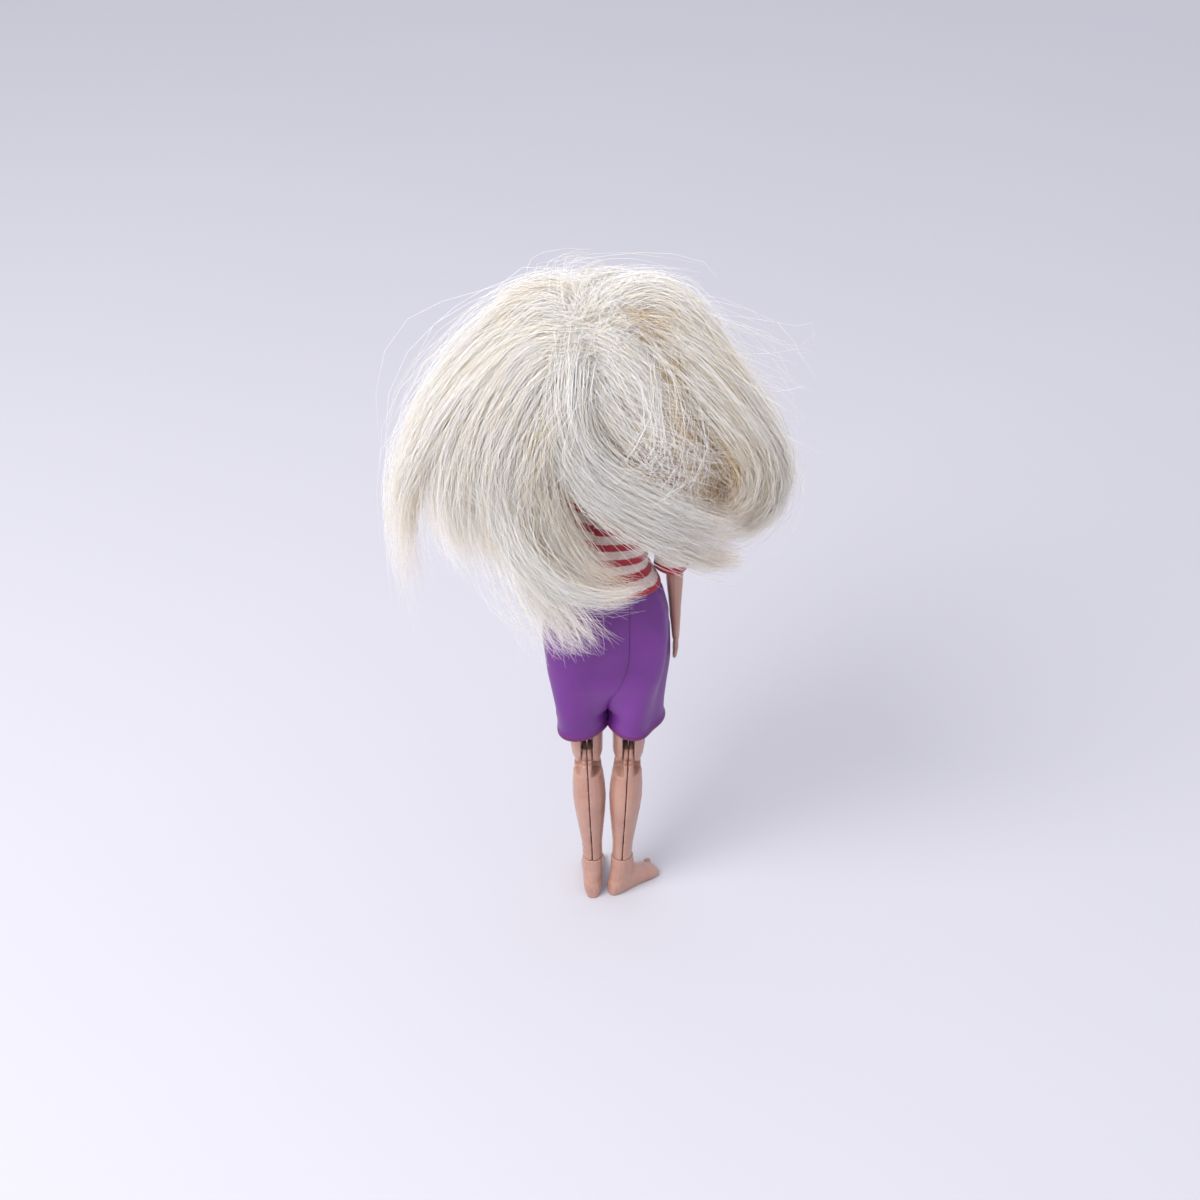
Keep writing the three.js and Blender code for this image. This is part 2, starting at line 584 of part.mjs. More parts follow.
function shin(hand) {
  const up = (share) => mix(ANKLE_HEIGHT, KNEE_HEIGHT, share);
  const limb = lofted(
    [
      legStation(hand, ANKLE_HEIGHT + GAP / 2, ANKLE_SIDE, ANKLE_DEPTH, ANKLE_DEPTH),
      legStation(hand, up(0.14), ANKLE_SIDE + 0.2, ANKLE_DEPTH, ANKLE_DEPTH + 0.5),
      legStation(hand, up(0.3), mix(ANKLE_SIDE, CALF_SIDE, 0.45), SHIN_FRONT - 0.8, CALF_BACK - 2),
      legStation(hand, up(0.45), CALF_SIDE - 0.6, SHIN_FRONT - 0.2, CALF_BACK - 0.5),
      legStation(hand, up(0.58), CALF_SIDE, SHIN_FRONT, CALF_BACK),
      legStation(hand, up(0.7), CALF_SIDE - 0.2, SHIN_FRONT + 0.3, CALF_BACK - 0.4),
      legStation(hand, up(0.82), KNEE_SIDE + 0.8, KNEE_DEPTH, KNEE_DEPTH + 0.6),
      legStation(hand, up(0.93), KNEE_SIDE + 0.2, KNEE_DEPTH + 0.5, KNEE_DEPTH),
      legStation(hand, KNEE_HEIGHT, KNEE_SIDE, KNEE_DEPTH + 0.5, KNEE_DEPTH - 0.4),
      legStation(hand, KNEE_HEIGHT + KNEE.lip * 0.7, KNEE_SIDE - 0.5, KNEE_DEPTH, KNEE_DEPTH - 1),
      legStation(hand, KNEE_HEIGHT + KNEE.lip, KNEE_SIDE - 1.2, KNEE_DEPTH - 0.7, KNEE_DEPTH - 1.5),
    ],
    LIMB_SIDES,
  );
  const x = hand * ANKLE_SPREAD;
  const room = rodZ(PEG_RADIUS + GAP, 0, ankleFlangeLow, x).add(
    rodZ(FLANGE_RADIUS - 0.4 + GAP, ankleFlangeLow - GAP, ankleFlangeLow + FLANGE_THICKNESS + GAP, x),
  );
  return tongued(limb, KNEE, hand * KNEE_SPREAD, KNEE_HEIGHT).subtract(room);
}

// The lower leg is moulded in two halves that meet in a seam down the middle of the calf.
function shinHalf(hand, half) {
  const slope = (KNEE_SPREAD - ANKLE_SPREAD) / (KNEE_HEIGHT - ANKLE_HEIGHT);
  const cutter = new THREE.BoxGeometry(FAR, FAR, FAR).translate((-half * (FAR - GAP)) / 2, 0, 0);
  const shear = new THREE.Matrix4().set(1, 0, hand * slope, 0, 0, 1, 0, 0, 0, 0, 1, 0, 0, 0, 0, 1);
  cutter.applyMatrix4(shear).translate(hand * ANKLE_SPREAD, 0, ANKLE_HEIGHT);
  return shin(hand).subtract(solidOf(cutter));
}

// Foot and its peg, about the ankle's upright axis, with the sole on z = 0

function anklePeg() {
  return turned([
    [0, ANKLE_HEIGHT - footPegDepth],
    [PEG_RADIUS, ANKLE_HEIGHT - footPegDepth],
    [PEG_RADIUS, ankleFlangeLow],
    [FLANGE_RADIUS - 0.4, ankleFlangeLow],
    [FLANGE_RADIUS - 0.4, ankleFlangeLow + FLANGE_THICKNESS],
    [0, ankleFlangeLow + FLANGE_THICKNESS],
  ]);
}

function foot(hand, turn) {
  const toeLine = FOOT_LENGTH - HEEL_BEHIND_ANKLE; // from the ankle axis to the tip of the big toe
  // Outlines across the foot, heel first: distance ahead of the ankle, half width, top of the foot.
  const across = (ahead, side, top) => station(ahead, side, top * 0.7, top / 2, 0, top / 2);
  const heel = HEEL_BEHIND_ANKLE;
  const last = loft(
    [
      across(-heel, ANKLE_SIDE * 0.35, INSTEP_HEIGHT * 0.54),
      across(-heel * 0.88, ANKLE_SIDE * 0.67, INSTEP_HEIGHT * 0.7),
      across(-heel * 0.56, ANKLE_SIDE * 0.91, INSTEP_HEIGHT * 0.88),
      across(0, ANKLE_SIDE * 0.98, INSTEP_HEIGHT * 1.15),
      across(toeLine * 0.25, ANKLE_SIDE, INSTEP_HEIGHT),
      across(toeLine * 0.5, mix(ANKLE_SIDE, FOOT_SIDE, 0.6), INSTEP_HEIGHT * 0.68),
      across(toeLine * 0.72, FOOT_SIDE, TOE_HEIGHT * 1.35),
      across(toeLine * 0.86, FOOT_SIDE * 0.93, TOE_HEIGHT),
      across(toeLine * 0.93, FOOT_SIDE * 0.72, TOE_HEIGHT * 0.78),
    ],
    LIMB_SIDES,
  ).rotateX(Math.PI / 2);
  const cuff = lofted(
    [
      station(ANKLE_HEIGHT * 0.1, ANKLE_SIDE * 0.8, ANKLE_DEPTH * 0.8, heel * 0.77),
      station(ANKLE_HEIGHT * 0.4, ANKLE_SIDE * 0.96, ANKLE_DEPTH * 1.15, heel * 0.95),
      station(ANKLE_HEIGHT * 0.7, ANKLE_SIDE * 1.06, ANKLE_DEPTH * 1.22, ANKLE_DEPTH * 1.06),
      station(ANKLE_HEIGHT - GAP / 2, ANKLE_SIDE * 1.04, ANKLE_DEPTH * 1.06, ANKLE_DEPTH * 1.04),
    ],
    LIMB_SIDES,
  );
  let shape = solidOf(last).add(cuff);
  const toePitch = (2 * FOOT_SIDE * 0.9) / TOES;
  const toeReach = FOOT_LENGTH * 0.095; // half length of a toe
  for (let toe = 0; toe < TOES; toe++) {
    const big = toe === 0 ? 1.35 : 1;
    const x = -hand * (FOOT_SIDE * 0.75 - toe * toePitch); // big toe on the inner side
    const ahead = toeLine - toeReach - toe * toePitch * 0.37;
    const wide = toePitch * 0.52 * big;
    const tall = TOE_HEIGHT * (0.46 * big - toe * 0.017);
    shape = shape.add(ellipsoid(x, -ahead, tall * 0.8, wide, toeReach, tall, 8, 6));
  }
  // The sole is cut level with the floor, which the leaning doll meets at a small angle.
  const floor = new THREE.BoxGeometry(FAR, FAR, FAR).translate(0, 0, -FAR / 2);
  floor.rotateX(radians(-LEAN)).rotateZ(radians(-hand * turn));
  return shape
    .subtract(solidOf(floor))
    .subtract(rodZ(PEG_RADIUS + GAP, ANKLE_HEIGHT - footPegDepth - GAP, FAR));
}

// Arms, from the middle of the shoulder's flat face, hanging down

const elbowZ = -UPPER_ARM_LENGTH;
const wristZ = elbowZ - FOREARM_LENGTH;
const armX = (z) => ARM_OFFSET + ARM_FLARE * (-z / (UPPER_ARM_LENGTH + FOREARM_LENGTH));
const armStation = (hand, z, side, front, back) => station(z, side, front, back, hand * armX(z));

const upperArmStations = (hand) => [
  armStation(hand, elbowZ - ELBOW.cheek - 0.6, ELBOW_SIDE - 0.3, ELBOW_SIDE, ELBOW_SIDE),
  armStation(hand, elbowZ, ELBOW_SIDE, ELBOW_SIDE + 0.3, ELBOW_SIDE + 0.3),
  armStation(hand, elbowZ * 0.75, ELBOW_SIDE + 0.2, ELBOW_SIDE + 0.5, ELBOW_SIDE + 0.5),
  armStation(hand, elbowZ * 0.4, UPPER_ARM_SIDE, UPPER_ARM_SIDE + 0.3, UPPER_ARM_SIDE + 0.3),
  armStation(hand, elbowZ * 0.16, UPPER_ARM_SIDE + 0.4, UPPER_ARM_SIDE + 0.9, UPPER_ARM_SIDE + 0.9),
  armStation(hand, 0, SHOULDER_RADIUS - 0.5, SHOULDER_RADIUS - 0.4, SHOULDER_RADIUS - 0.4),
];

// Everything of an arm that would reach past the shoulder's flat face.
const pastShoulder = (hand, by) =>
  hand > 0 ? block(-FAR, by, -FAR, FAR, -FAR, FAR) : block(-by, FAR, -FAR, FAR, -FAR, FAR);

const elbowX = armX(elbowZ);

function upperArm(hand) {
  const ball = ellipsoid(hand * ARM_OFFSET, 0, 0, SHOULDER_RADIUS, SHOULDER_RADIUS, SHOULDER_RADIUS);
  const whole = lofted(upperArmStations(hand), ARM_SIDES)
    .add(ball)
    .subtract(pastShoulder(hand, GAP))
    .subtract(rodX(PEG_RADIUS + GAP, 0, hand * (ARM_OFFSET + 1 + GAP), 0));
  const pinSpan = [hand * (elbowX - ELBOW.pinHalf - GAP), hand * (elbowX + ELBOW.pinHalf + GAP)];
  return forked(whole, ELBOW, hand * elbowX, elbowZ, ...pinSpan);
}

const elbowPin = (hand) =>
  rodX(ELBOW.pin, hand * (elbowX - ELBOW.pinHalf), hand * (elbowX + ELBOW.pinHalf), elbowZ);

function shoulderPeg(hand) {
  const flange = -(SHOULDER_WALL + GAP); // its bearing face, inside the chest wall
  return rodX(PEG_RADIUS, hand * (flange - FLANGE_THICKNESS), hand * (ARM_OFFSET + 1), 0).add(
    rodX(FLANGE_RADIUS, hand * (flange - FLANGE_THICKNESS), hand * flange, 0),
  );
}

const forearmStations = (hand) => [
  armStation(hand, wristZ - 1, WRIST_SIDE - 0.2, WRIST_SIDE + 0.4, WRIST_SIDE + 0.4),
  armStation(hand, mix(wristZ, elbowZ, 0.12), WRIST_SIDE, WRIST_SIDE + 0.4, WRIST_SIDE + 0.4),
  armStation(hand, mix(wristZ, elbowZ, 0.45), mix(WRIST_SIDE, ELBOW_SIDE, 0.6), 3.7, 3.7),
  armStation(hand, mix(wristZ, elbowZ, 0.78), ELBOW_SIDE + 0.1, ELBOW_SIDE + 0.3, ELBOW_SIDE + 0.4),
  armStation(hand, elbowZ, ELBOW_SIDE, ELBOW_SIDE + 0.1, ELBOW_SIDE + 0.6),
  armStation(hand, elbowZ + ELBOW.lip, ELBOW_SIDE - 0.9, ELBOW_SIDE - 0.9, ELBOW_SIDE - 0.3),
];

// Forearm and hand in one moulding, the palm towards the thigh and the thumb to the front
function forearm(hand) {
  const x = armX(wristZ);
  const knuckles = wristZ - HAND_LENGTH * 0.48;
  const palm = lofted(
    [
      station(knuckles - 1.5, FINGER_RADIUS, FINGER_RADIUS * 3.1, FINGER_RADIUS * 3.1, hand * (x + 0.6)),
      station(knuckles, FINGER_RADIUS + 0.5, FINGER_RADIUS * 3.7, FINGER_RADIUS * 3.7, hand * (x + 0.5)),
      station(mix(wristZ, knuckles, 0.5), WRIST_SIDE - 0.6, 4, 3.8, hand * (x + 0.3)),
      station(wristZ, WRIST_SIDE - 0.2, WRIST_SIDE + 0.5, WRIST_SIDE + 0.5, hand * x),
      station(wristZ + 1.5, WRIST_SIDE - 0.4, WRIST_SIDE, WRIST_SIDE, hand * x),
    ],
    ARM_SIDES,
  );
  let shape = tongued(lofted(forearmStations(hand), ARM_SIDES), ELBOW, hand * elbowX, elbowZ).add(palm);
  const finger = (y, top, tip, lean, radius) =>
    lofted(
      [
        station(tip, radius * 0.35, radius * 0.35, radius * 0.35, hand * (x + 0.2), y + lean),
        station(tip + 0.7, radius * 0.8, radius * 0.8, radius * 0.8, hand * (x + 0.3), y + lean),
        station(mix(tip, top, 0.5), radius, radius, radius, hand * (x + 0.7), y + lean * 0.5),
        station(top, radius, radius, radius, hand * (x + 0.5), y),
      ],
      6,
    );
  for (let i = 0; i < FINGERS; i++) {
    const y = FINGER_RADIUS * 1.9 * (i - (FINGERS - 1) / 2);
    const shorter = [1.6, 0, 0.7, 3][i];
    const tip = wristZ - HAND_LENGTH + shorter;
    shape = shape.add(finger(y, knuckles + 1, tip, 0, FINGER_RADIUS));
  }
  const thumbTop = mix(wristZ, knuckles, 0.25);
  return shape.add(finger(-3, thumbTop, thumbTop - HAND_LENGTH * 0.4, -2.8, FINGER_RADIUS + 0.15));
}

// Striped top: one knit shell, slit at the back, with the closing tapes under the overlap

const shirtHem = WAIST_HEIGHT - SHIRT_HEM_BELOW_WAIST;
const neckline = SHOULDER_HEIGHT + NECKLINE_ABOVE_SHOULDER;
const armhole = SHOULDER_RADIUS + EASE + CLOTH + 2 * GAP;

// The top's inner outlines, or with a thickness its outer ones.
function shirtStations(thick) {
  const at = (z, more = 0) => {
    const loose = EASE + more + thick;
    return torsoAt(z, loose, loose, BACK_EASE + more + thick);
  };
  const heights = TORSO.map((s) => s.z).filter((z) => z > WAIST_HEIGHT && z < neckline - 0.5);
  return [
    at(shirtHem, HEM_FLARE),
    at(mix(shirtHem, WAIST_HEIGHT, 0.5), HEM_FLARE - 0.4),
    at(WAIST_HEIGHT + 2, 1),
    ...heights.map((z) => at(z)),
    at(neckline),
  ];
}

function shirtBody() {
  const flat = SHOULDER_SPREAD - GAP / 2;
  const inner = shirtStations(0);
  const below = { ...inner[0], z: shirtHem - 1 };
  const above = { ...inner[inner.length - 1], z: neckline + 1 };
  const ends = [below, ...inner, above];
  const slit = block(CLOSURE_X - CLOSURE_SLIT / 2, CLOSURE_X + CLOSURE_SLIT / 2, 0, FAR, 0, FAR);
  const armRoom = rodX(armhole + 1, -FAR, FAR, SHOULDER_HEIGHT);
  return lofted(shirtStations(CLOTH), TORSO_SIDES)
    .subtract(lofted(ends, TORSO_SIDES))
    .subtract(block(flat, FAR, -FAR, FAR, 0, FAR).intersect(armRoom))
    .subtract(block(-FAR, -flat, -FAR, FAR, 0, FAR).intersect(armRoom))
    .subtract(rodX(armhole, flat - 6, FAR, SHOULDER_HEIGHT, 20))
    .subtract(rodX(armhole, -FAR, 6 - flat, SHOULDER_HEIGHT, 20))
    .subtract(slit);
}

// A strip of tape that follows the back under the slit, layer 0 next to the body.
function closureTape(layer) {
  const lift = GAP + layer * (TAPE_THICKNESS + GAP);
  const from = WAIST_HEIGHT + 4;
  const to = SHOULDER_HEIGHT - 4;
  const span = [from, ...TORSO.map((s) => s.z).filter((z) => z > from && z < to), to];
  const outer = span.map((z) => torsoAt(z, lift + TAPE_THICKNESS));
  const inner = span.map((z) => torsoAt(z, lift));
  const open = [{ ...inner[0], z: from - 1 }, ...inner, { ...inner[inner.length - 1], z: to + 1 }];
  const band = block(CLOSURE_X - TAPE_WIDTH / 2, CLOSURE_X + TAPE_WIDTH / 2, 0, FAR, 0, FAR);
  return lofted(outer, TORSO_SIDES).subtract(lofted(open, TORSO_SIDES)).intersect(band);
}

// A sleeve that hangs from the armhole to below the elbow, in the arm's own frame
function sleeveStations(hand, more) {
  const hem = elbowZ - SLEEVE_PAST_ELBOW;
  const upper = upperArmStations(hand);
  const around = grown(upper.slice(1), more);
  const hemOutline = { ...upper[1], z: hem, x: hand * armX(hem) };
  const cap = SHOULDER_RADIUS + more;
  const capRing = (share) => {
    const reach = cap * Math.sqrt(1 - share ** 2);
    return station(cap * share, reach, reach, reach, hand * ARM_OFFSET);
  };
  const shoulder = around[around.length - 1];
  return [
    grown([hemOutline], more + SLEEVE_FLARE)[0],
    ...around.slice(0, -1),
    { ...shoulder, side: cap, front: cap, back: cap },
    capRing(0.45),
    capRing(0.75),
    capRing(0.95),
  ];
}

function sleeve(hand) {
  const inner = sleeveStations(hand, EASE);
  const open = [{ ...inner[0], z: inner[0].z - 1 }, ...inner.slice(1)];
  return lofted(sleeveStations(hand, EASE + CLOTH), ARM_SIDES)
    .subtract(lofted(open, ARM_SIDES))
    .subtract(pastShoulder(hand, GAP));
}

// Satin shorts: two legs sewn together down the middle, gathered on an elastic

const shortsTop = WAIST_HEIGHT - SHORTS_BELOW_WAIST;
const waistRoom = EASE + ELASTIC_THICKNESS + GAP + CLOTH;

// Soft upright folds that fade out at the gathered waist and between the legs.
const shortsFolds = (angle, s) => {
  const outer = s.x === 0 ? 1 : 0.5 + 0.5 * Math.sign(s.x) * Math.cos(angle);
  return FOLD_DEPTH * s.folds * outer * Math.cos(angle * FOLDS_PER_LEG + s.z / 30);
};

// One outline of the shorts, with how strongly the folds show there.
const shortsStation = (folds, ...outline) => ({ ...station(...outline), folds });

function shortsShape(by) {
  const over = by < 0 ? 1 : 0; // the inside runs on past the openings
  const rise = (share) => mix(HIP_HEIGHT, shortsTop, share);
  const seat = mix(SHORTS_CROTCH_HEIGHT, HIP_HEIGHT, 0.6);
  const hips = [
    shortsStation(0, SHORTS_CROTCH_HEIGHT - 6, SHORTS_SIDE - 14, SHORTS_FRONT - 9, SHORTS_BACK - 10),
    shortsStation(0.3, SHORTS_CROTCH_HEIGHT, SHORTS_SIDE - 3.4, SHORTS_FRONT - 1.5, SHORTS_BACK - 2),
    shortsStation(1, seat, SHORTS_SIDE - 0.8, SHORTS_FRONT, SHORTS_BACK),
    shortsStation(1, HIP_HEIGHT + 6, SHORTS_SIDE, SHORTS_FRONT, SHORTS_BACK),
    shortsStation(1, rise(0.55), SHORTS_SIDE - 1.4, SHORTS_FRONT - 0.6, SHORTS_BACK - 1.6),
    shortsStation(0.7, rise(0.82), SHORTS_SIDE - 4.6, SHORTS_FRONT - 2, SHORTS_BACK - 4),
    { ...torsoAt(shortsTop, waistRoom), z: shortsTop + over, folds: 0 },
  ];
  const leg = (hand) => {
    const tube = (z, side, depth) =>
      shortsStation(0.8, z, side, depth, depth + 1, hand * (side + GAP));
    return [
      tube(SHORTS_HEM_HEIGHT - over, LEG_OPENING_SIDE, LEG_OPENING_DEPTH),
      tube(SHORTS_HEM_HEIGHT + 9, LEG_OPENING_SIDE + 0.2, LEG_OPENING_DEPTH + 0.6),
      tube(SHORTS_CROTCH_HEIGHT, LEG_OPENING_SIDE + 0.6, LEG_OPENING_DEPTH + 1.4),
      tube(SHORTS_CROTCH_HEIGHT + 7, LEG_OPENING_SIDE + 0.8, LEG_OPENING_DEPTH + 1.4),
    ];
  };
  const legs = [1, -1].map((hand) => lofted(grown(leg(hand), by), SHORTS_SIDES, shortsFolds));
  return lofted(grown(hips, by), SHORTS_SIDES, shortsFolds).add(legs[0]).add(legs[1]);
}

function shortsHalf(hand) {
  return mainBody(sideOf(shortsShape(0).subtract(shortsShape(-CLOTH)), 0, hand));
}

function waistElastic() {
  const top = shortsTop - 1;
  const ring = (by, past) => [torsoAt(top - ELASTIC_WIDTH - past, by), torsoAt(top + past, by)];
  const band = lofted(ring(EASE + ELASTIC_THICKNESS, 0), TORSO_SIDES);
  return band.subtract(lofted(ring(EASE, 1), TORSO_SIDES));
}

// Hair

// A lock: rings along a smooth curve, as wide and deep as the lists say, lying flat against the back.
function lock(points, widths, depths, more) {
  const curve = new THREE.CatmullRomCurve3(points.map((p) => new THREE.Vector3(...p)));
  const along = (list, t) => {
    const place = t * (list.length - 1);
    const low = Math.min(Math.floor(place), list.length - 2);
    return mix(list[low], list[low + 1], place - low);
  };
  const behind = new THREE.Vector3(0, 1, 0);
  const positions = [];
  const index = [];
  for (let ring = 0; ring <= HAIR_RINGS; ring++) {
    const t = ring / HAIR_RINGS;
    const centre = curve.getPoint(t);
    const tangent = curve.getTangent(t);
    const across = new THREE.Vector3().crossVectors(tangent, behind).normalize();
    const up = new THREE.Vector3().crossVectors(tangent, across).normalize();
    for (let i = 0; i < HAIR_SIDES; i++) {
      const angle = (i / HAIR_SIDES) * 2 * Math.PI;
      const point = centre.clone();
      point.addScaledVector(across, Math.cos(angle) * (along(widths, t) + more));
      point.addScaledVector(up, Math.sin(angle) * (along(depths, t) + more));
      positions.push(point.x, point.y, point.z);
    }
  }
  const first = positions.length / 3;
  for (const end of [curve.getPoint(0), curve.getPoint(1)]) positions.push(end.x, end.y, end.z);
  const top = HAIR_RINGS * HAIR_SIDES;
  for (let i = 0; i < HAIR_SIDES; i++) {
    const next = (i + 1) % HAIR_SIDES;
    for (let ring = 0; ring < top; ring += HAIR_SIDES) {
      index.push(ring + i, ring + next, ring + HAIR_SIDES + next);
      index.push(ring + i, ring + HAIR_SIDES + next, ring + HAIR_SIDES + i);
    }
    index.push(first, next, i);
    index.push(first + 1, top + i, top + next);
  }
  const geometry = new THREE.BufferGeometry();
  geometry.setAttribute("position", new THREE.Float32BufferAttribute(positions, 3));
  geometry.setIndex(index);
  return solidOf(geometry);
}

// Routes of the loose hair, from the crown downwards. A point is a share of the reach to the doll's
// left, of the depth behind the neck and of the drop below the crown. Half widths are shares of the
// reach, and half depths of the depth.
const FALLS = {
  hair_left_fall: {
    points: [
      [0.12, 0.05, -0.01],
      [0.42, 0.1, 0.13],
      [0.6, 0.2, 0.42],
      [0.6, 0.4, 0.7],
      [0.47, 0.62, 0.92],
    ],
    widths: [0.09, 0.3, 0.41, 0.34, 0.1],
    depths: [0.09, 0.11, 0.11, 0.1, 0.07],
  },
  hair_right_fall: {
    points: [
      [-0.12, 0.05, -0.01],
      [-0.4, 0.1, 0.13],
      [-0.56, 0.2, 0.37],
      [-0.57, 0.35, 0.55],
      [-0.53, 0.5, 0.7],
    ],
    widths: [0.09, 0.28, 0.34, 0.28, 0.1],
    depths: [0.09, 0.11, 0.11, 0.1, 0.07],
  },
  hair_back_fall: {
    points: [
      [0.08, 0.86, 0.12],
      [0.05, 1.03, 0.3],
      [-0.18, 1.03, 0.5],
      [-0.45, 0.95, 0.68],
      [-0.72, 0.8, 0.8],
    ],
    widths: [0.12, 0.25, 0.24, 0.19, 0.05],
    depths: [0.09, 0.1, 0.1, 0.09, 0.06],
  },
  hair_low_lock: {
    points: [
      [0.73, 0.73, 0.65],
      [0.53, 0.93, 0.87],
      [0.18, 1.03, 0.97],
      [-0.2, 1, 0.96],
    ],
    widths: [0.07, 0.13, 0.11, 0.03],
    depths: [0.08, 0.09, 0.09, 0.06],
  },
};

function fall({ points, widths, depths }, more) {
  const place = ([left, behind, drop]) => [
    left * HAIR_REACH,
    behind * HAIR_BEHIND,
    CROWN_HEIGHT - drop * HAIR_DROP,
  ];
  const wide = widths.map((share) => share * HAIR_REACH);
  const deep = depths.map((share) => share * HAIR_BEHIND);
  return lock(points.map(place), wide, deep, more);
}

function hairCap(more) {
  const middle = HEAD_MIDDLE + CAP_SHIFT;
  const over = HAIR_CAP + more;
  const dome = ellipsoid(
    0,
    CAP_SHIFT,
    middle,
    HEAD_SIDE + over,
    HEAD_FRONT + HAIR_SWELL + over,
    CROWN_HEIGHT - middle + over,
    20,
    12,
  );
  const face = block(-HAIRLINE_HALF, HAIRLINE_HALF, -FAR, -CAP_SHIFT, 0, CROWN_HEIGHT - HAIRLINE_DROP);
  const nape = block(-FAR, FAR, -FAR, FAR, 0, NECK_HEIGHT + NAPE_ABOVE_NECK);
  return dome.subtract(face).subtract(nape);
}

// Assembly

const doll = new THREE.Group();
doll.name = "doll";

const trunk = pelvis();
const rib = chest();
const waistTurn = joint("waist_turn", 0, 0, 0);
const neckTurn = joint("neck_turn", 0, 0, 0);
const top = shirtBody();

doll.add(
  piece("pelvis_front_shell", frontHalf(trunk), skin),
  piece("pelvis_back_shell", backHalf(trunk), skin),
  piece("waist_peg", waistPeg(), pegPlastic),
  piece("shorts_left_half", shortsHalf(1), satin),
  piece("shorts_right_half", shortsHalf(-1), satin),
  piece("shorts_waist_elastic", waistElastic(), elasticWeave),
  waistTurn,
);
waistTurn.add(
  piece("chest_front_shell", frontHalf(rib), skin),
  piece("chest_back_shell", backHalf(rib), skin),
  piece("neck_peg", neckPeg(), pegPlastic),
  piece("shirt_body", top, knit),
  piece("shirt_loop_tape", closureTape(0), tapeWeave),
  piece("shirt_hook_tape", closureTape(1), tapeWeave),
  neckTurn,
);
const turnedHead = joint("head_at_rest", 0, 0, 0);
turnedHead.rotation.z = radians(-HEAD_TURN);
neckTurn.add(turnedHead);
turnedHead.add(piece("head", head(), skin));

const sides = [
  { hand: 1, name: "left", swing: LEFT_ARM_SWING, turn: LEFT_FOOT_TURN },
  { hand: -1, name: "right", swing: RIGHT_ARM_SWING, turn: RIGHT_FOOT_TURN },
];
const armGroups = [];
for (const { hand, name, swing, turn } of sides) {
  const arm = joint(`${name}_shoulder_swing`, hand * SHOULDER_SPREAD, 0, SHOULDER_HEIGHT);
  arm.rotation.x = radians(-swing);
  arm.add(
    piece(`${name}_shoulder_peg`, shoulderPeg(hand), pegPlastic),
    piece(`${name}_upper_arm`, upperArm(hand), skin),
    piece(`${name}_elbow_pin`, elbowPin(hand), steel),
    piece(`${name}_forearm`, forearm(hand), skin),
    piece(`${name}_sleeve`, sleeve(hand), knit),
  );
  waistTurn.add(arm);
  armGroups.push({ arm, hand });

  doll.add(
    piece(`${name}_hip_peg`, hipPeg(hand), pegPlastic),
    piece(`${name}_thigh`, thigh(hand), skin),
    piece(`${name}_knee_pin`, kneePin(hand), steel),
    piece(`${name}_shin_inner_half`, shinHalf(hand, -hand), skin),
    piece(`${name}_shin_outer_half`, shinHalf(hand, hand), skin),
  );
  const ankle = joint(`${name}_ankle_turn`, hand * ANKLE_SPREAD, 0, 0);
  ankle.rotation.z = radians(hand * turn);
  ankle.add(
    piece(`${name}_ankle_peg`, anklePeg(), pegPlastic),
    piece(`${name}_foot`, foot(hand, turn), skin),
  );
  doll.add(ankle);
}

// Hair stands clear of the head, the clothes and the arms, so it is cut by slightly larger copies of them.
doll.updateMatrixWorld(true);
const inPlace = (group, solid) => solidOf(geometryOf(solid).applyMatrix4(group.matrixWorld));
const hairRoom = 2 * GAP;
const largerHead = headSkin(20, 14, []).translate(0, 0, -HEAD_MIDDLE);
largerHead.scale(1.06, 1.06, 1.06).translate(0, 0, HEAD_MIDDLE);
turnedHead.add(piece("hair_cap", mainBody(hairCap(0).subtract(solidOf(largerHead))), fibre));
const obstacles = [
  inPlace(turnedHead, solidOf(largerHead)),
  lofted(grown(shirtStations(CLOTH), hairRoom), TORSO_SIDES),
  lofted(grown(torsoBetween(SHOULDER_HEIGHT, NECK_HEIGHT), hairRoom), TORSO_SIDES),
  ...armGroups.map(({ arm, hand }) =>
    inPlace(arm, lofted(sleeveStations(hand, EASE + CLOTH + hairRoom), ARM_SIDES)),
  ),
];
const clearOf = (solid, others) => others.reduce((left, other) => left.subtract(other), solid);

const laid = [inPlace(turnedHead, hairCap(GAP))];
for (const [name, route] of Object.entries(FALLS)) {
  neckTurn.add(piece(name, mainBody(clearOf(fall(route, 0), [...obstacles, ...laid])), fibre));
  laid.push(fall(route, GAP));
}

// The doll leans, and the origin is in the middle of its overall box, on the floor.
const part = new THREE.Group();
part.add(doll);
doll.rotation.x = radians(LEAN);
const reach = new THREE.Box3().setFromObject(doll, true);
doll.position.set(-(reach.min.x + reach.max.x) / 2, -(reach.min.y + reach.max.y) / 2, -reach.min.z);

export default part;
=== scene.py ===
import math

import bmesh
import bpy
import numpy as np
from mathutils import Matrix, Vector, noise


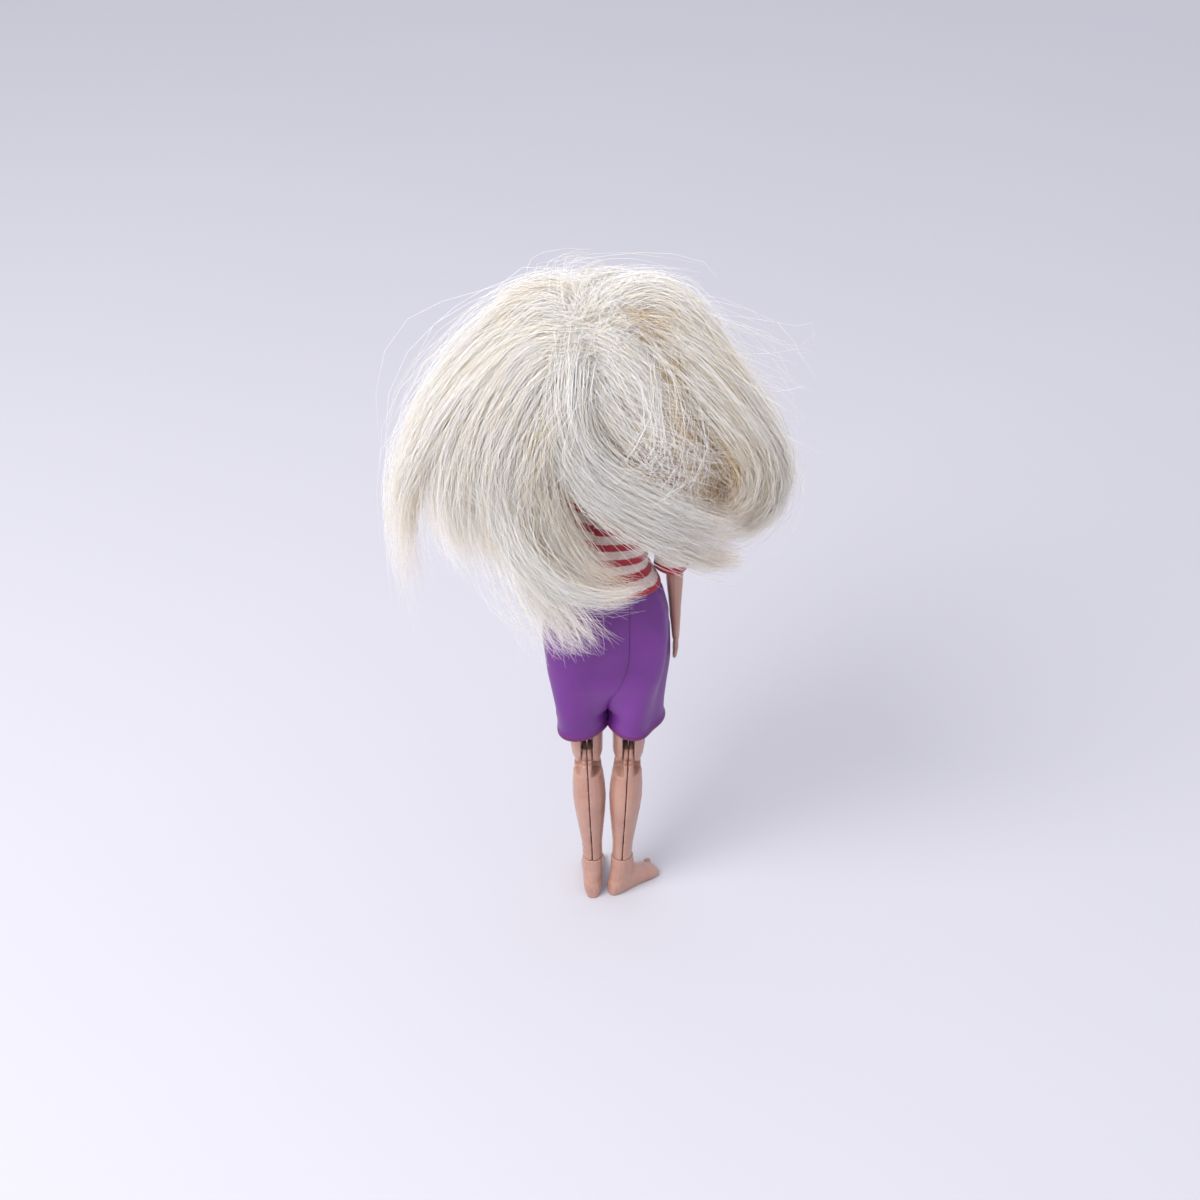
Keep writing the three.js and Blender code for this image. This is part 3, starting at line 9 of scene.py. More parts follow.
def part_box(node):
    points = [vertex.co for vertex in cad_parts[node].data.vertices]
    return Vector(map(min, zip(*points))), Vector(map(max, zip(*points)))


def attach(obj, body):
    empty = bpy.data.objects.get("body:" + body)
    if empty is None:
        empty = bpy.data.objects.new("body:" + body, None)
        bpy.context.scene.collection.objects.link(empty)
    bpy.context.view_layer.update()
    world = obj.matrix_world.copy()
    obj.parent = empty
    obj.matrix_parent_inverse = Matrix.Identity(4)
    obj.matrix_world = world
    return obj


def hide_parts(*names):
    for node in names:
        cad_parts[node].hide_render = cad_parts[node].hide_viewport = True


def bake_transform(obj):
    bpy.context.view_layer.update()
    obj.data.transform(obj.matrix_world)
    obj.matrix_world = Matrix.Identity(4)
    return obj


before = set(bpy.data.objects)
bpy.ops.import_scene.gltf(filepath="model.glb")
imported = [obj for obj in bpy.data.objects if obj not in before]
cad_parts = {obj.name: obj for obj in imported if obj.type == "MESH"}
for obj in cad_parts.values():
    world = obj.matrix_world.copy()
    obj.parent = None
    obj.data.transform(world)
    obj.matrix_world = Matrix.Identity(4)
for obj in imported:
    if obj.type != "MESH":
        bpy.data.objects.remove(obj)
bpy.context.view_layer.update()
scene = bpy.context.scene
scene.view_settings.view_transform = "Standard"
mm = 0.001
sides = {"left": 1, "right": -1}

# every place below is in millimetres along the doll's own axis, which runs through the neck peg and
# leans forwards by this angle
lean = math.radians(2.2)
neckLow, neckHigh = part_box("neck_peg")
axisX = (neckLow[0] + neckHigh[0]) / 2
axisY = (neckLow[1] + neckHigh[1]) / 2 + (neckLow[2] + neckHigh[2]) / 2 * math.tan(lean)


def leant(y, z):
    return y * math.cos(lean) - z * math.sin(lean), y * math.sin(lean) + z * math.cos(lean)


def spot(x, y, z):
    ahead, up = leant(y, z)
    return Vector((axisX + x * mm, axisY + ahead * mm, up * mm))


def smoothStep(value, low, high):
    share = min(max((value - low) / (high - low), 0.0), 1.0)
    return share * share * (3 - 2 * share)


def addObject(name, data):
    made = bpy.data.objects.new(name, data)
    scene.collection.objects.link(made)
    return made


def addPiece(name, mesh, material):
    mesh.polygons.foreach_set("use_smooth", [True] * len(mesh.polygons))
    mesh.materials.clear()
    mesh.materials.append(material)
    return addObject(name, mesh)


def finishMesh(name, bm, material):
    bmesh.ops.recalc_face_normals(bm, faces=bm.faces)
    mesh = bpy.data.meshes.new(name)
    bm.to_mesh(mesh)
    bm.free()
    return addPiece(name, mesh, material)


# a grid of cloth or skin whose points are put in place by a formula of two shares
def formedGrid(name, across, along, place, material, keep=None):
    bm = bmesh.new()
    bm.loops.layers.uv.new("UVMap")
    bmesh.ops.create_grid(bm, x_segments=across, y_segments=along, size=0.5, calc_uvs=True)
    left = []
    for vert in bm.verts:
        u = vert.co.x + 0.5
        v = vert.co.y + 0.5
        at = place(u, v)
        vert.co = spot(*at)
        if keep and not keep(u, v, at):
            left.append(vert)
    if left:
        bmesh.ops.delete(bm, geom=left, context="VERTS")
    bmesh.ops.remove_doubles(bm, verts=bm.verts, dist=0.02 * mm)
    return finishMesh(name, bm, material)


def thicken(piece, thickness):
    wall = piece.modifiers.new("wall", "SOLIDIFY")
    wall.thickness = thickness * mm
    wall.offset = 1.0
    wall.use_even_offset = True
    rounded = piece.modifiers.new("rounded", "SUBSURF")
    rounded.levels = rounded.render_levels = 1


# shader building blocks

def addNode(tree, kind, inputs=None, **settings):
    made = tree.nodes.new(kind)
    for key, value in settings.items():
        setattr(made, key, value)
    for socket, value in (inputs or {}).items():
        if isinstance(value, bpy.types.NodeSocket):
            tree.links.new(value, made.inputs[socket])
        else:
            made.inputs[socket].default_value = value
    return made


def addRamp(tree, value, stops):
    ramp = addNode(tree, "ShaderNodeValToRGB", {"Fac": value})
    while len(ramp.color_ramp.elements) < len(stops):
        ramp.color_ramp.elements.new(0.5)
    for element, (at, colour) in zip(ramp.color_ramp.elements, stops):
        element.position = at
        element.color = (*colour, 1)
    return ramp.outputs["Color"]


def addMath(tree, operation, a, b=0.0):
    return addNode(tree, "ShaderNodeMath", {0: a, 1: b}, operation=operation).outputs[0]


def times(tree, a, b):
    return addMath(tree, "MULTIPLY", a, b)


def scaled(tree, value, factor, shift):
    return addMath(tree, "ADD", times(tree, value, factor), shift)


def addMix(tree, share, a, b):
    mixed = addNode(tree, "ShaderNodeMix", {"Factor": share}, data_type="RGBA")
    for socket, value in ((mixed.inputs[6], a), (mixed.inputs[7], b)):
        if isinstance(value, bpy.types.NodeSocket):
            tree.links.new(value, socket)
        else:
            socket.default_value = (*value, 1)
    return mixed.outputs[2]


def addNoise(tree, place, scale, detail=2.0):
    made = addNode(tree, "ShaderNodeTexNoise", {"Vector": place, "Scale": scale, "Detail": detail})
    return made.outputs["Fac"]


def splitAxes(tree, vector):
    return addNode(tree, "ShaderNodeSeparateXYZ", {0: vector}).outputs


def objectPlace(tree):
    return addNode(tree, "ShaderNodeTexCoord").outputs["Object"]


def uvPlace(tree):
    return addNode(tree, "ShaderNodeUVMap", uv_map="UVMap").outputs["UV"]


def newMaterial(name, **fixed):
    material = bpy.data.materials.new(name)
    material.use_nodes = True
    tree = material.node_tree
    shader = tree.nodes["Principled BSDF"]
    for key, value in fixed.items():
        shader.inputs[key.replace("_", " ")].default_value = value
    return material, tree, shader


# colour, roughness and, for a bump, its height, strength and distance
def wireShader(tree, shader, colour, rough, height=None, strength=0.0, distance=0.0):
    wires = {"Base Color": colour, "Roughness": rough}
    if height:
        bump = {"Height": height, "Strength": strength, "Distance": distance}
        wires["Normal"] = addNode(tree, "ShaderNodeBump", bump).outputs["Normal"]
    for socket, value in wires.items():
        tree.links.new(value, shader.inputs[socket])


def newGroup(name, inputs, outputs):
    group = bpy.data.node_groups.new(name, "ShaderNodeTree")
    for label, kind, value in inputs:
        socket = group.interface.new_socket(label, in_out="INPUT", socket_type=kind)
        if value is not None:
            socket.default_value = value
    for label, kind in outputs:
        group.interface.new_socket(label, in_out="OUTPUT", socket_type=kind)
    return group, group.nodes.new("NodeGroupInput"), group.nodes.new("NodeGroupOutput")


def useGroup(tree, group, inputs):
    return addNode(tree, "ShaderNodeGroup", inputs, node_tree=group)


# a fine even grain with slow patches of tone, for moulded and drawn surfaces
def makeGrainGroup():
    group, given, result = newGroup(
        "mouldedGrain",
        [("Vector", "NodeSocketVector", None), ("Patches", "NodeSocketFloat", 90.0),
         ("Grain", "NodeSocketFloat", 2600.0)],
        [("Tone", "NodeSocketFloat"), ("Height", "NodeSocketFloat")])
    patches = addNoise(group, given.outputs["Vector"], given.outputs["Patches"], 4.0)
    grain = addNoise(group, given.outputs["Vector"], given.outputs["Grain"])
    group.links.new(patches, result.inputs["Tone"])
    group.links.new(grain, result.inputs["Height"])
    return group


# crossing threads on a UV map, for the woven and knitted pieces
def makeThreadGroup():
    group, given, result = newGroup(
        "crossedThreads",
        [("UV", "NodeSocketVector", None), ("Across", "NodeSocketFloat", 200.0),
         ("Along", "NodeSocketFloat", 200.0)],
        [("Height", "NodeSocketFloat"), ("Tone", "NodeSocketFloat")])
    parts = splitAxes(group, given.outputs["UV"])
    across = times(group, parts["X"], given.outputs["Across"])
    along = times(group, parts["Y"], given.outputs["Along"])
    ribs = addMath(group, "SINE", times(group, across, 2 * math.pi))
    rows = addMath(group, "SINE", times(group, along, 2 * math.pi))
    height = scaled(group, times(group, ribs, rows), 0.5, 0.5)
    cell = addNode(group, "ShaderNodeCombineXYZ", {
        0: addMath(group, "FLOOR", across), 1: addMath(group, "FLOOR", along)})
    yarn = addNode(group, "ShaderNodeTexWhiteNoise", {"Vector": cell.outputs[0]}, noise_dimensions="2D")
    group.links.new(height, result.inputs["Height"])
    group.links.new(yarn.outputs["Value"], result.inputs["Tone"])
    return group


grainGroup = makeGrainGroup()
threadGroup = makeThreadGroup()
print("shader groups ready")

# moulded body

skinLook = {
    "pale": (0.455, 0.255, 0.195),
    "rosy": (0.41, 0.213, 0.160),
    "roughness": 0.3,
    "grain": (0.05, 0.0001),  # strength and depth
    # dark brown painted into the knee slots as shade
    "slotPaintedShade": (0.085, 0.036, 0.022),
    # painted shade in the knee slots: half width, back behind the pin, depth of the shading, floor before the
    # pin, height above it
    "slot": (2.9, 6.4, 3.0, 4.5, 8),
}


# painted shade inside a knee's slot, as a mask that grows with depth and height above the pin
def paintedSlotShadeMask(tree, place, pin):
    low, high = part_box(pin)
    middle = [(a + b) / 2 for a, b in zip(low, high)]
    half, back, deep, floor, rise = (size * mm for size in skinLook["slot"])
    parts = splitAxes(tree, place)
    aside = addMath(tree, "ABSOLUTE", addMath(tree, "SUBTRACT", parts["X"], middle[0]))
    inside = times(tree, addMath(tree, "LESS_THAN", aside, half),
                   addMath(tree, "GREATER_THAN", parts["Y"], middle[1] - floor))
    sunk = addMath(tree, "DIVIDE", addMath(tree, "SUBTRACT", middle[1] + back, parts["Y"]), deep)
    above = addMath(tree, "DIVIDE", addMath(tree, "SUBTRACT", parts["Z"], middle[2]), rise)
    shades = [addNode(tree, "ShaderNodeClamp", {0: value}).outputs[0] for value in (sunk, above)]
    return times(tree, inside, times(tree, *shades))


def skinTones(tree, place):
    grain = useGroup(tree, grainGroup, {"Vector": place})
    tone = grain.outputs["Tone"]
    colour = addRamp(tree, tone, [(0.35, skinLook["rosy"]), (0.65, skinLook["pale"])])
    return colour, scaled(tree, tone, 0.2, skinLook["roughness"] - 0.1), grain.outputs["Height"]


def makeSkin(name, pin=None):
    material, tree, shader = newMaterial(
        name, Subsurface_Weight=0.12, Subsurface_Scale=0.002, Coat_Weight=0.25, Coat_Roughness=0.18)
    place = objectPlace(tree)
    colour, rough, height = skinTones(tree, place)
    if pin:
        # painted shade: the inside of the knee slot turns dark brown, deeper in and higher up
        colour = addMix(tree, times(tree, paintedSlotShadeMask(tree, place, pin), 0.9), colour, skinLook["slotPaintedShade"])
    wireShader(tree, shader, colour, rough, height, *skinLook["grain"])
    return material


def makePlain(name, dark, pale, roughness, metallic=0.0, patches=140.0):
    material, tree, shader = newMaterial(name, Metallic=metallic)
    grain = useGroup(tree, grainGroup, {"Vector": objectPlace(tree), "Patches": patches})
    colour = addRamp(tree, grain.outputs["Tone"], [(0.3, dark), (0.7, pale)])
    rough = scaled(tree, grain.outputs["Tone"], 0.25, roughness - 0.12)
    wireShader(tree, shader, colour, rough, grain.outputs["Height"], 0.08, 0.0001)
    return material


skin = makeSkin("satinSkin")
# the leg skins carry painted shade inside the knee slots
legSkin = {side: makeSkin(side + "LegSkin", side + "_knee_pin") for side in sides}
pegPlastic = makePlain("pegPlastic", (0.72, 0.67, 0.58), (0.82, 0.78, 0.70), 0.5)
pinSteel = makePlain("pinSteel", (0.45, 0.46, 0.48), (0.60, 0.61, 0.63), 0.35, 1.0, 600.0)

# voxel size and rounding of the moulded pieces, finer on the hands and toes
moulding = {
    "shell": {"voxel": 1.0, "passes": 5},
    "limb": {"voxel": 0.42, "passes": 12},
    "fine": {"voxel": 0.3, "passes": 2},
}


def softenEdges(node, voxel, passes):
    weld = node.modifiers.new("joined", "WELD")
    weld.merge_threshold = 0.002 * mm
    solid = node.modifiers.new("even", "REMESH")
    solid.mode = "VOXEL"
    solid.voxel_size = voxel * mm
    solid.use_smooth_shade = True
    rounded = node.modifiers.new("rounded", "SMOOTH")
    rounded.factor = 0.5
    rounded.iterations = passes


def dressNode(name, node):
    if name.endswith("_peg"):
        finish = pegPlastic
    elif name.endswith("_pin"):
        finish = pinSteel
    else:
        finish = legSkin[name.split("_")[0]] if "thigh" in name or "shin" in name else skin
        part = "fine" if name.endswith(("forearm", "foot")) else "limb"
        part = "shell" if name.endswith(("shell", "upper_arm")) else part
        softenEdges(node, **moulding[part])
    node.data.materials.clear()
    node.data.materials.append(finish)


replacedNodes = ("shirt", "shorts", "hair", "head")
for name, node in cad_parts.items():
    if not name.startswith(replacedNodes) and not name.endswith("sleeve"):
        dressNode(name, node)
print("moulded body dressed")

# head

headLook = {
    "half": (16, 21.75),  # side and height
    "front": 16.5,
    "back": 19.5,
    "middle": 270.25,
    "taper": (0.34, 0.1, 0.42),  # how much the sides, the front and the back draw in towards the chin
    "turn": -35,  # degrees, to the doll's right
}

# soft swellings of the face: centre across and up, half sizes, and how far they stand out
faceForms = (
    (0, 263.4, 1.7, 1.9, 2.3),  # tip of the nose
    (0, 267.6, 1.5, 3.4, 1.1),  # bridge
    (5.9, 269.4, 3.2, 2.3, -1.0),  # eye hollows
    (-5.9, 269.4, 3.2, 2.3, -1.0),
    (5.8, 269.2, 2.5, 1.5, 0.55),  # eyeballs
    (-5.8, 269.2, 2.5, 1.5, 0.55),
    (0, 257.0, 2.9, 0.75, 0.95),  # upper lip
    (0, 255.2, 2.5, 0.8, 0.95),  # lower lip
    (0, 250.8, 3.4, 2.2, 1.0),  # chin
    (8.6, 261.5, 3.8, 3.6, 0.7),  # cheeks
    (-8.6, 261.5, 3.8, 3.6, 0.7),
    (0, 278, 8, 4, 0.5),  # brow
)


def turnHead(x, y, z):
    turn = math.radians(headLook["turn"])
    return x * math.cos(turn) - y * math.sin(turn), x * math.sin(turn) + y * math.cos(turn), z


# a point of the head's egg for a direction from its middle, in millimetres, face towards -Y
def eggPoint(x, y, z, more=0.0):
    low = smoothStep(-z, -0.15, 1)
    sideTaper, frontTaper, backTaper = headLook["taper"]
    side = headLook["half"][0] * (1 - sideTaper * low) + more
    deep = headLook["front"] * (1 - frontTaper * low) if y < 0 else headLook["back"] * (1 - backTaper * low)
    return x * side, y * (deep + more), headLook["middle"] + z * (headLook["half"][1] + more)


def facePoint(direction):
    x, y, z = eggPoint(*direction)
    fade = smoothStep(-direction[1], 0.05, 0.4)
    for across, up, wide, tall, proud in faceForms:
        y -= fade * proud * math.exp(-(((x - across) / wide) ** 2) - ((z - up) / tall) ** 2)
    return spot(*turnHead(x, y, z))


# a soft-edged painted oval on the front of the face
def makeOvalGroup():
    group, given, result = newGroup(
        "paintedOval",
        [("Vector", "NodeSocketVector", None), ("Centre", "NodeSocketVector", None),
         ("Half", "NodeSocketVector", None), ("Edge", "NodeSocketFloat", 0.1)],
        [("Mask", "NodeSocketFloat")])
    away = addNode(group, "ShaderNodeVectorMath", {0: given.outputs["Vector"], 1: given.outputs["Centre"]},
                   operation="SUBTRACT")
    share = addNode(group, "ShaderNodeVectorMath", {0: away.outputs[0], 1: given.outputs["Half"]},
                    operation="DIVIDE")
    far = addNode(group, "ShaderNodeVectorMath", {0: share.outputs[0]}, operation="LENGTH")
    mask = addNode(group, "ShaderNodeMapRange", {
        "Value": far.outputs["Value"], "From Min": addMath(group, "ADD", given.outputs["Edge"], 1.0),
        "From Max": addMath(group, "SUBTRACT", 1.0, given.outputs["Edge"])}, interpolation_type="SMOOTHSTEP")
    group.links.new(mask.outputs["Result"], result.inputs["Mask"])
    return group


facePaint = {
    "white": (0.86, 0.85, 0.83),
    "iris": (0.10, 0.16, 0.20),
    "dark": (0.02, 0.014, 0.012),
    "lash": (0.045, 0.025, 0.018),
    "brow": (0.33, 0.19, 0.09),
    "lid": (0.50, 0.27, 0.26),
    "blush": (0.72, 0.30, 0.26),
    "lips": (0.56, 0.15, 0.16),
}


def makeFaceMaterial(name):
    material, tree, shader = newMaterial(
        name, Subsurface_Weight=0.12, Subsurface_Scale=0.002, Coat_Weight=0.08, Coat_Roughness=0.3)
    place = objectPlace(tree)
    colour, rough, _ = skinTones(tree, place)
    centred = addNode(tree, "ShaderNodeVectorMath", {0: place, 1: spot(0, 0, 0)}, operation="SUBTRACT")
    local = addNode(tree, "ShaderNodeMapping", {
        "Vector": centred.outputs[0], "Rotation": (-lean, 0, -math.radians(headLook["turn"])),
        "Scale": (1000, 1000, 1000)}).outputs[0]
    facing = addMath(tree, "LESS_THAN", splitAxes(tree, local)["Y"], -4.0)

    def oval(x, z, wide, tall, edge=0.12):
        mask = useGroup(tree, ovalGroup, {
            "Vector": local, "Centre": (x, 0, z), "Half": (wide, 1000, tall), "Edge": edge})
        return times(tree, mask.outputs["Mask"], facing)

    def paint(mask, tone, share=1.0):
        return addMix(tree, times(tree, mask, share), colour, facePaint[tone])

    def cutBy(mask, other):
        return times(tree, mask, addMath(tree, "SUBTRACT", 1.0, other))

    for side in (1, -1):
        colour = paint(oval(side * 8.8, 260.5, 4.2, 3.2, 0.9), "blush", 0.35)
        colour = paint(oval(side * 6.1, 270.6, 3.9, 2.3, 0.5), "lid", 0.55)
        eye = oval(side * 5.9, 269.1, 2.9, 1.6)
        colour = paint(eye, "white")
        for wide, tone in ((1.5, "iris"), (0.75, "dark")):
            colour = paint(times(tree, oval(side * 5.7, 269.2, wide, wide), eye), tone)
        colour = paint(oval(side * 5.7 + 0.5, 269.8, 0.38, 0.38), "white")
        colour = paint(cutBy(oval(side * 6.0, 269.3, 3.35, 2.1), oval(side * 5.9, 268.75, 3.1, 1.95)), "lash")
        brow = cutBy(oval(side * 6.3, 274.0, 4.0, 1.5, 0.2), oval(side * 6.0, 273.2, 4.1, 1.45, 0.2))
        colour = paint(brow, "brow", 0.8)
        colour = paint(oval(side * 1.15, 256.9, 1.9, 0.8, 0.25), "lips")
    colour = paint(oval(0, 255.4, 2.45, 1.0, 0.25), "lips")
    wireShader(tree, shader, colour, rough)
    return material


ovalGroup = makeOvalGroup()


def makeHead():
    bm = bmesh.new()
    bmesh.ops.create_uvsphere(bm, u_segments=112, v_segments=84, radius=1.0)
    for vert in bm.verts:
        vert.co = facePoint(vert.co)
    return finishMesh("doll_head", bm, makeFaceMaterial("paintedFace"))


headPiece = makeHead()
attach(headPiece, "head")
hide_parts("head")
print("head shaped")

# clothes

# half sizes of the body at rising heights: side, front and back
bodyOutline = {
    "height": (141, 151, 163, 175, 181, 189, 203.5, 211, 217, 224, 231, 235.5, 239, 241.5, 244, 250),
    "side": (21.5, 21.2, 18.5, 15.6, 14.8, 15.1, 16.7, 17.4, 17.4, 18.4, 20.5, 19.4, 14.3, 9, 6.2, 5.6),
    "front": (12.6, 12.6, 12, 10.6, 10, 10.6, 12.8, 15.6, 16.6, 13.2, 10.2, 8.4, 7, 6.2, 5.6, 5.6),
    "back": (14.3, 13.9, 12.2, 10.5, 10, 10.2, 11, 11.3, 11.3, 10.9, 10.2, 8.7, 7.7, 6.8, 5.8, 5.6),
}


def outlineAt(outline, z):
    return [float(np.interp(z, outline["height"], outline[key])) for key in ("side", "front", "back")]


def ringPoint(turn, z, side, front, back):
    x = math.cos(turn) * side
    y = math.sin(turn) * (front if math.sin(turn) < 0 else back)
    return x, y, z


knitLook = {
    "red": (0.37, 0.025, 0.040),
    "white": (0.64, 0.52, 0.475),
    "period": 7.6,  # one red and one white stripe
    "redShare": (0.42, 0.48),
    "stitch": 0.55,  # size of a knitted loop
}


def makeKnit(name, around, length, slope, shift):
    material, tree, shader = newMaterial(name, Sheen_Weight=0.25, Specular_IOR_Level=0.2)
    uv = uvPlace(tree)
    threads = useGroup(tree, threadGroup, {
        "UV": uv, "Across": around / knitLook["stitch"], "Along": length / knitLook["stitch"]})
    parts = splitAxes(tree, uv)
    uneven = addMath(tree, "SUBTRACT", threads.outputs["Tone"], 0.5)
    rise = addMath(tree, "ADD", times(tree, parts["Y"], length / knitLook["period"]),
                   times(tree, parts["X"], slope / knitLook["period"]))
    turn = addMath(tree, "ADD", addMath(tree, "ADD", rise, shift), times(tree, uneven, 0.07))
    away = addMath(tree, "SUBTRACT", addMath(tree, "FRACT", turn), 0.5)
    stripes = addRamp(tree, times(tree, addMath(tree, "ABSOLUTE", away), 2.0), [
        (share, knitLook[yarn]) for share, yarn in zip(knitLook["redShare"], ("red", "white"))])
    shade = addNode(tree, "ShaderNodeHueSaturation", {
        "Color": stripes, "Value": scaled(tree, uneven, 0.3, 1.0)})
    rough = scaled(tree, threads.outputs["Tone"], 0.15, 0.75)
    wireShader(tree, shader, shade.outputs["Color"], rough, threads.outputs["Height"], 0.5, 0.00025)
    return material


shirtCut = {
    "hem": 172.6, "neck": 240.4, "ease": 1.5, "backEase": 2.8, "flare": 3.6, "flareTop": 184,
    "closure": 5.6,  # edge of the upper back panel, to the doll's left
    "overlap": 6.0, "lift": 1.6, "armhole": 7.7, "armholeX": 15.0, "shoulder": 231,
    "off": 3,  # how far from the body the knit's width is measured
    "roll": 1.6,  # height of the rolled hems
    "hemRoll": 0.35, "neckRoll": 0.3, "liftEnd": 0.12, "sag": 0.5, "wall": 0.55,
    "hemFolds": dict(deep=0.5, count=5, slope=9), "hemFade": (180, 206),
    "chestFolds": dict(deep=0.35, count=3, slope=-6), "chestFade": (196, 214),
}


# shallow slanting folds in a tube of cloth
def slantFolds(turn, down, deep, count, slope):
    return deep * math.sin(count * turn + down / slope)


# half sizes of the knit at a height, with more ease at the back
def knitAt(z, more):
    side, front, back = outlineAt(bodyOutline, z)
    flare = shirtCut["flare"] * (1 - smoothStep(z, shirtCut["hem"], shirtCut["flareTop"]))
    loose = shirtCut["ease"] + flare + more
    return side + loose, front + loose, back + loose + shirtCut["backEase"] - shirtCut["ease"]


# the knit runs from the closure's upper edge right round the body and on under that edge
def shirtPoint(u, v):
    z = shirtCut["hem"] + (shirtCut["neck"] - shirtCut["hem"]) * v
    wide = outlineAt(bodyOutline, z)[0] + shirtCut["off"]
    turn = math.acos(shirtCut["closure"] / wide) - u * (2 * math.pi + shirtCut["overlap"] / wide)
    folds = slantFolds(turn, z, **shirtCut["hemFolds"]) * (1 - smoothStep(z, *shirtCut["hemFade"]))
    folds += slantFolds(turn, z, **shirtCut["chestFolds"]) * smoothStep(z, *shirtCut["chestFade"])
    hem = shirtCut["hemRoll"] * (1 - smoothStep(z - shirtCut["hem"], 0, shirtCut["roll"]))
    hem += shirtCut["neckRoll"] * smoothStep(z, shirtCut["neck"] - shirtCut["roll"], shirtCut["neck"])
    lift = shirtCut["lift"] * (1 - smoothStep(u, 0.0, shirtCut["liftEnd"]))
    x, y, z = ringPoint(turn, z, *knitAt(z, folds + hem + lift))
    return x, y, z + shirtCut["sag"] * math.sin(2 * turn) * (1 - v)


def outsideArmholes(u, v, at):
    x, y, z = at
    return abs(x) < shirtCut["armholeX"] or math.hypot(y, z - shirtCut["shoulder"]) > shirtCut["armhole"]


shirtKnit = makeKnit("stripedKnit", 118, 68, 2.6, 0.15)
shirt = formedGrid("knit_top", 120, 50, shirtPoint, shirtKnit, outsideArmholes)
thicken(shirt, shirtCut["wall"])

sleeveCut = {
    "armX": 5.4, "flare": 3.0, "reach": 81,  # the arm hangs further out towards the hand
    "shoulderX": 20.3, "swing": {"left": 50, "right": 5},
    "length": 52.5, "capRadius": 8.3, "bend": 12.0, "hemRadius": 6.7, "wall": 0.55,
    "narrowing": 26, "inset": 1.2, "drop": 2.0, "out": 4, "roll": 0.3, "rollFrom": 0.965,
    "folds": dict(deep=0.35, count=3, slope=4), "foldsFrom": (6, 20),
    "creases": dict(deep=0.25, count=2, slope=2.4),
}


# the sleeve leaves the armhole sideways, turns down over the shoulder and follows the arm
def sleevePoint(hand, swing):
    def place(u, v):
        turn = 2 * math.pi * u
        along = v * (sleeveCut["length"] + sleeveCut["bend"])
        bend = smoothStep(along, 0, sleeveCut["bend"])
        down = max(along - sleeveCut["bend"], 0)
        tip = 0.5 * math.pi * bend
        narrow = smoothStep(down, 0, sleeveCut["narrowing"])
        radius = sleeveCut["capRadius"] + (sleeveCut["hemRadius"] - sleeveCut["capRadius"]) * narrow
        radius += slantFolds(turn, down, **sleeveCut["folds"]) * smoothStep(down, *sleeveCut["foldsFrom"])
        radius += slantFolds(turn, down, **sleeveCut["creases"]) * narrow
        radius += sleeveCut["roll"] * smoothStep(v, sleeveCut["rollFrom"], 1.0)
        outward = sleeveCut["flare"] * (down + sleeveCut["out"]) / sleeveCut["reach"]
        middleX = sleeveCut["armX"] * bend + outward
        middleZ = -down - sleeveCut["drop"] * bend
        ringX = math.sin(turn) * radius * math.sin(tip)
        ringZ = math.sin(turn) * radius * math.cos(tip)
        x = sleeveCut["shoulderX"] - sleeveCut["inset"] + middleX + ringX
        y = math.cos(turn) * radius
        z = middleZ + ringZ
        angle = math.radians(-swing)
        return (hand * x, y * math.cos(angle) - z * math.sin(angle),
                shirtCut["shoulder"] + y * math.sin(angle) + z * math.cos(angle))
    return place


sleeves = {}
for side, hand in sides.items():
    knit = makeKnit(side + "SleeveKnit", 46, 64, 0.0, 0.3)
    place = sleevePoint(hand, sleeveCut["swing"][side])
    sleeves[side] = formedGrid(side + "_knit_sleeve", 46, 54, place, knit)
    thicken(sleeves[side], sleeveCut["wall"])
print("knit top sewn")

satinLook = {
    "deep": (0.088, 0.010, 0.140), "bright": (0.170, 0.026, 0.255), "edging": (0.120, 0.008, 0.082),
    # seam: a dark colour painted along the sewn edges as the shade in the seams
    "seam": (0.045, 0.006, 0.075), "thread": 0.3, "stitch": 0.9,
    "hem": 2.1, "seamShare": 0.006,
}


# satin with an overlocked hem and painted shade in a dark line along the sewn edges
def makeSatin(name, around, length):
    material, tree, shader = newMaterial(
        name, Sheen_Weight=0.06, Sheen_Roughness=0.3, Anisotropic=0.5, Sheen_Tint=(0.8, 0.5, 0.95, 1))
    uv = uvPlace(tree)
    threads = useGroup(tree, threadGroup, {
        "UV": uv, "Across": around / satinLook["thread"], "Along": length / satinLook["thread"]})
    slow = addNoise(tree, objectPlace(tree), 28.0)
    shine = addMath(tree, "ADD", slow, times(tree, threads.outputs["Tone"], 0.12))
    colour = addRamp(tree, shine, [(0.3, satinLook["deep"]), (0.8, satinLook["bright"])])
    parts = splitAxes(tree, uv)
    hem = addMath(tree, "LESS_THAN", parts["Y"], satinLook["hem"] / length)
    dash = addMath(tree, "FRACT", times(tree, parts["X"], around / satinLook["stitch"]))
    stitch = times(tree, hem, addMath(tree, "LESS_THAN", dash, 0.35))
    colour = addMix(tree, times(tree, hem, 0.92), colour, satinLook["edging"])
    colour = addMix(tree, times(tree, stitch, 0.35), colour, satinLook["bright"])
    # painted shade: a dark line along the sewn edges, for the shade in the seam's groove
    sewn = addMath(tree, "ABSOLUTE", addMath(tree, "SUBTRACT", parts["X"], shortsCut["outer"]))
    seam = addMath(tree, "LESS_THAN", addMath(tree, "MINIMUM", sewn, parts["X"]), satinLook["seamShare"])
    colour = addMix(tree, times(tree, seam, 0.75), colour, satinLook["seam"])
    height = addMath(tree, "ADD", times(tree, threads.outputs["Height"], 0.3), stitch)
    wireShader(tree, shader, colour, scaled(tree, slow, 0.16, 0.3), height, 0.3, 0.00025)
    return material


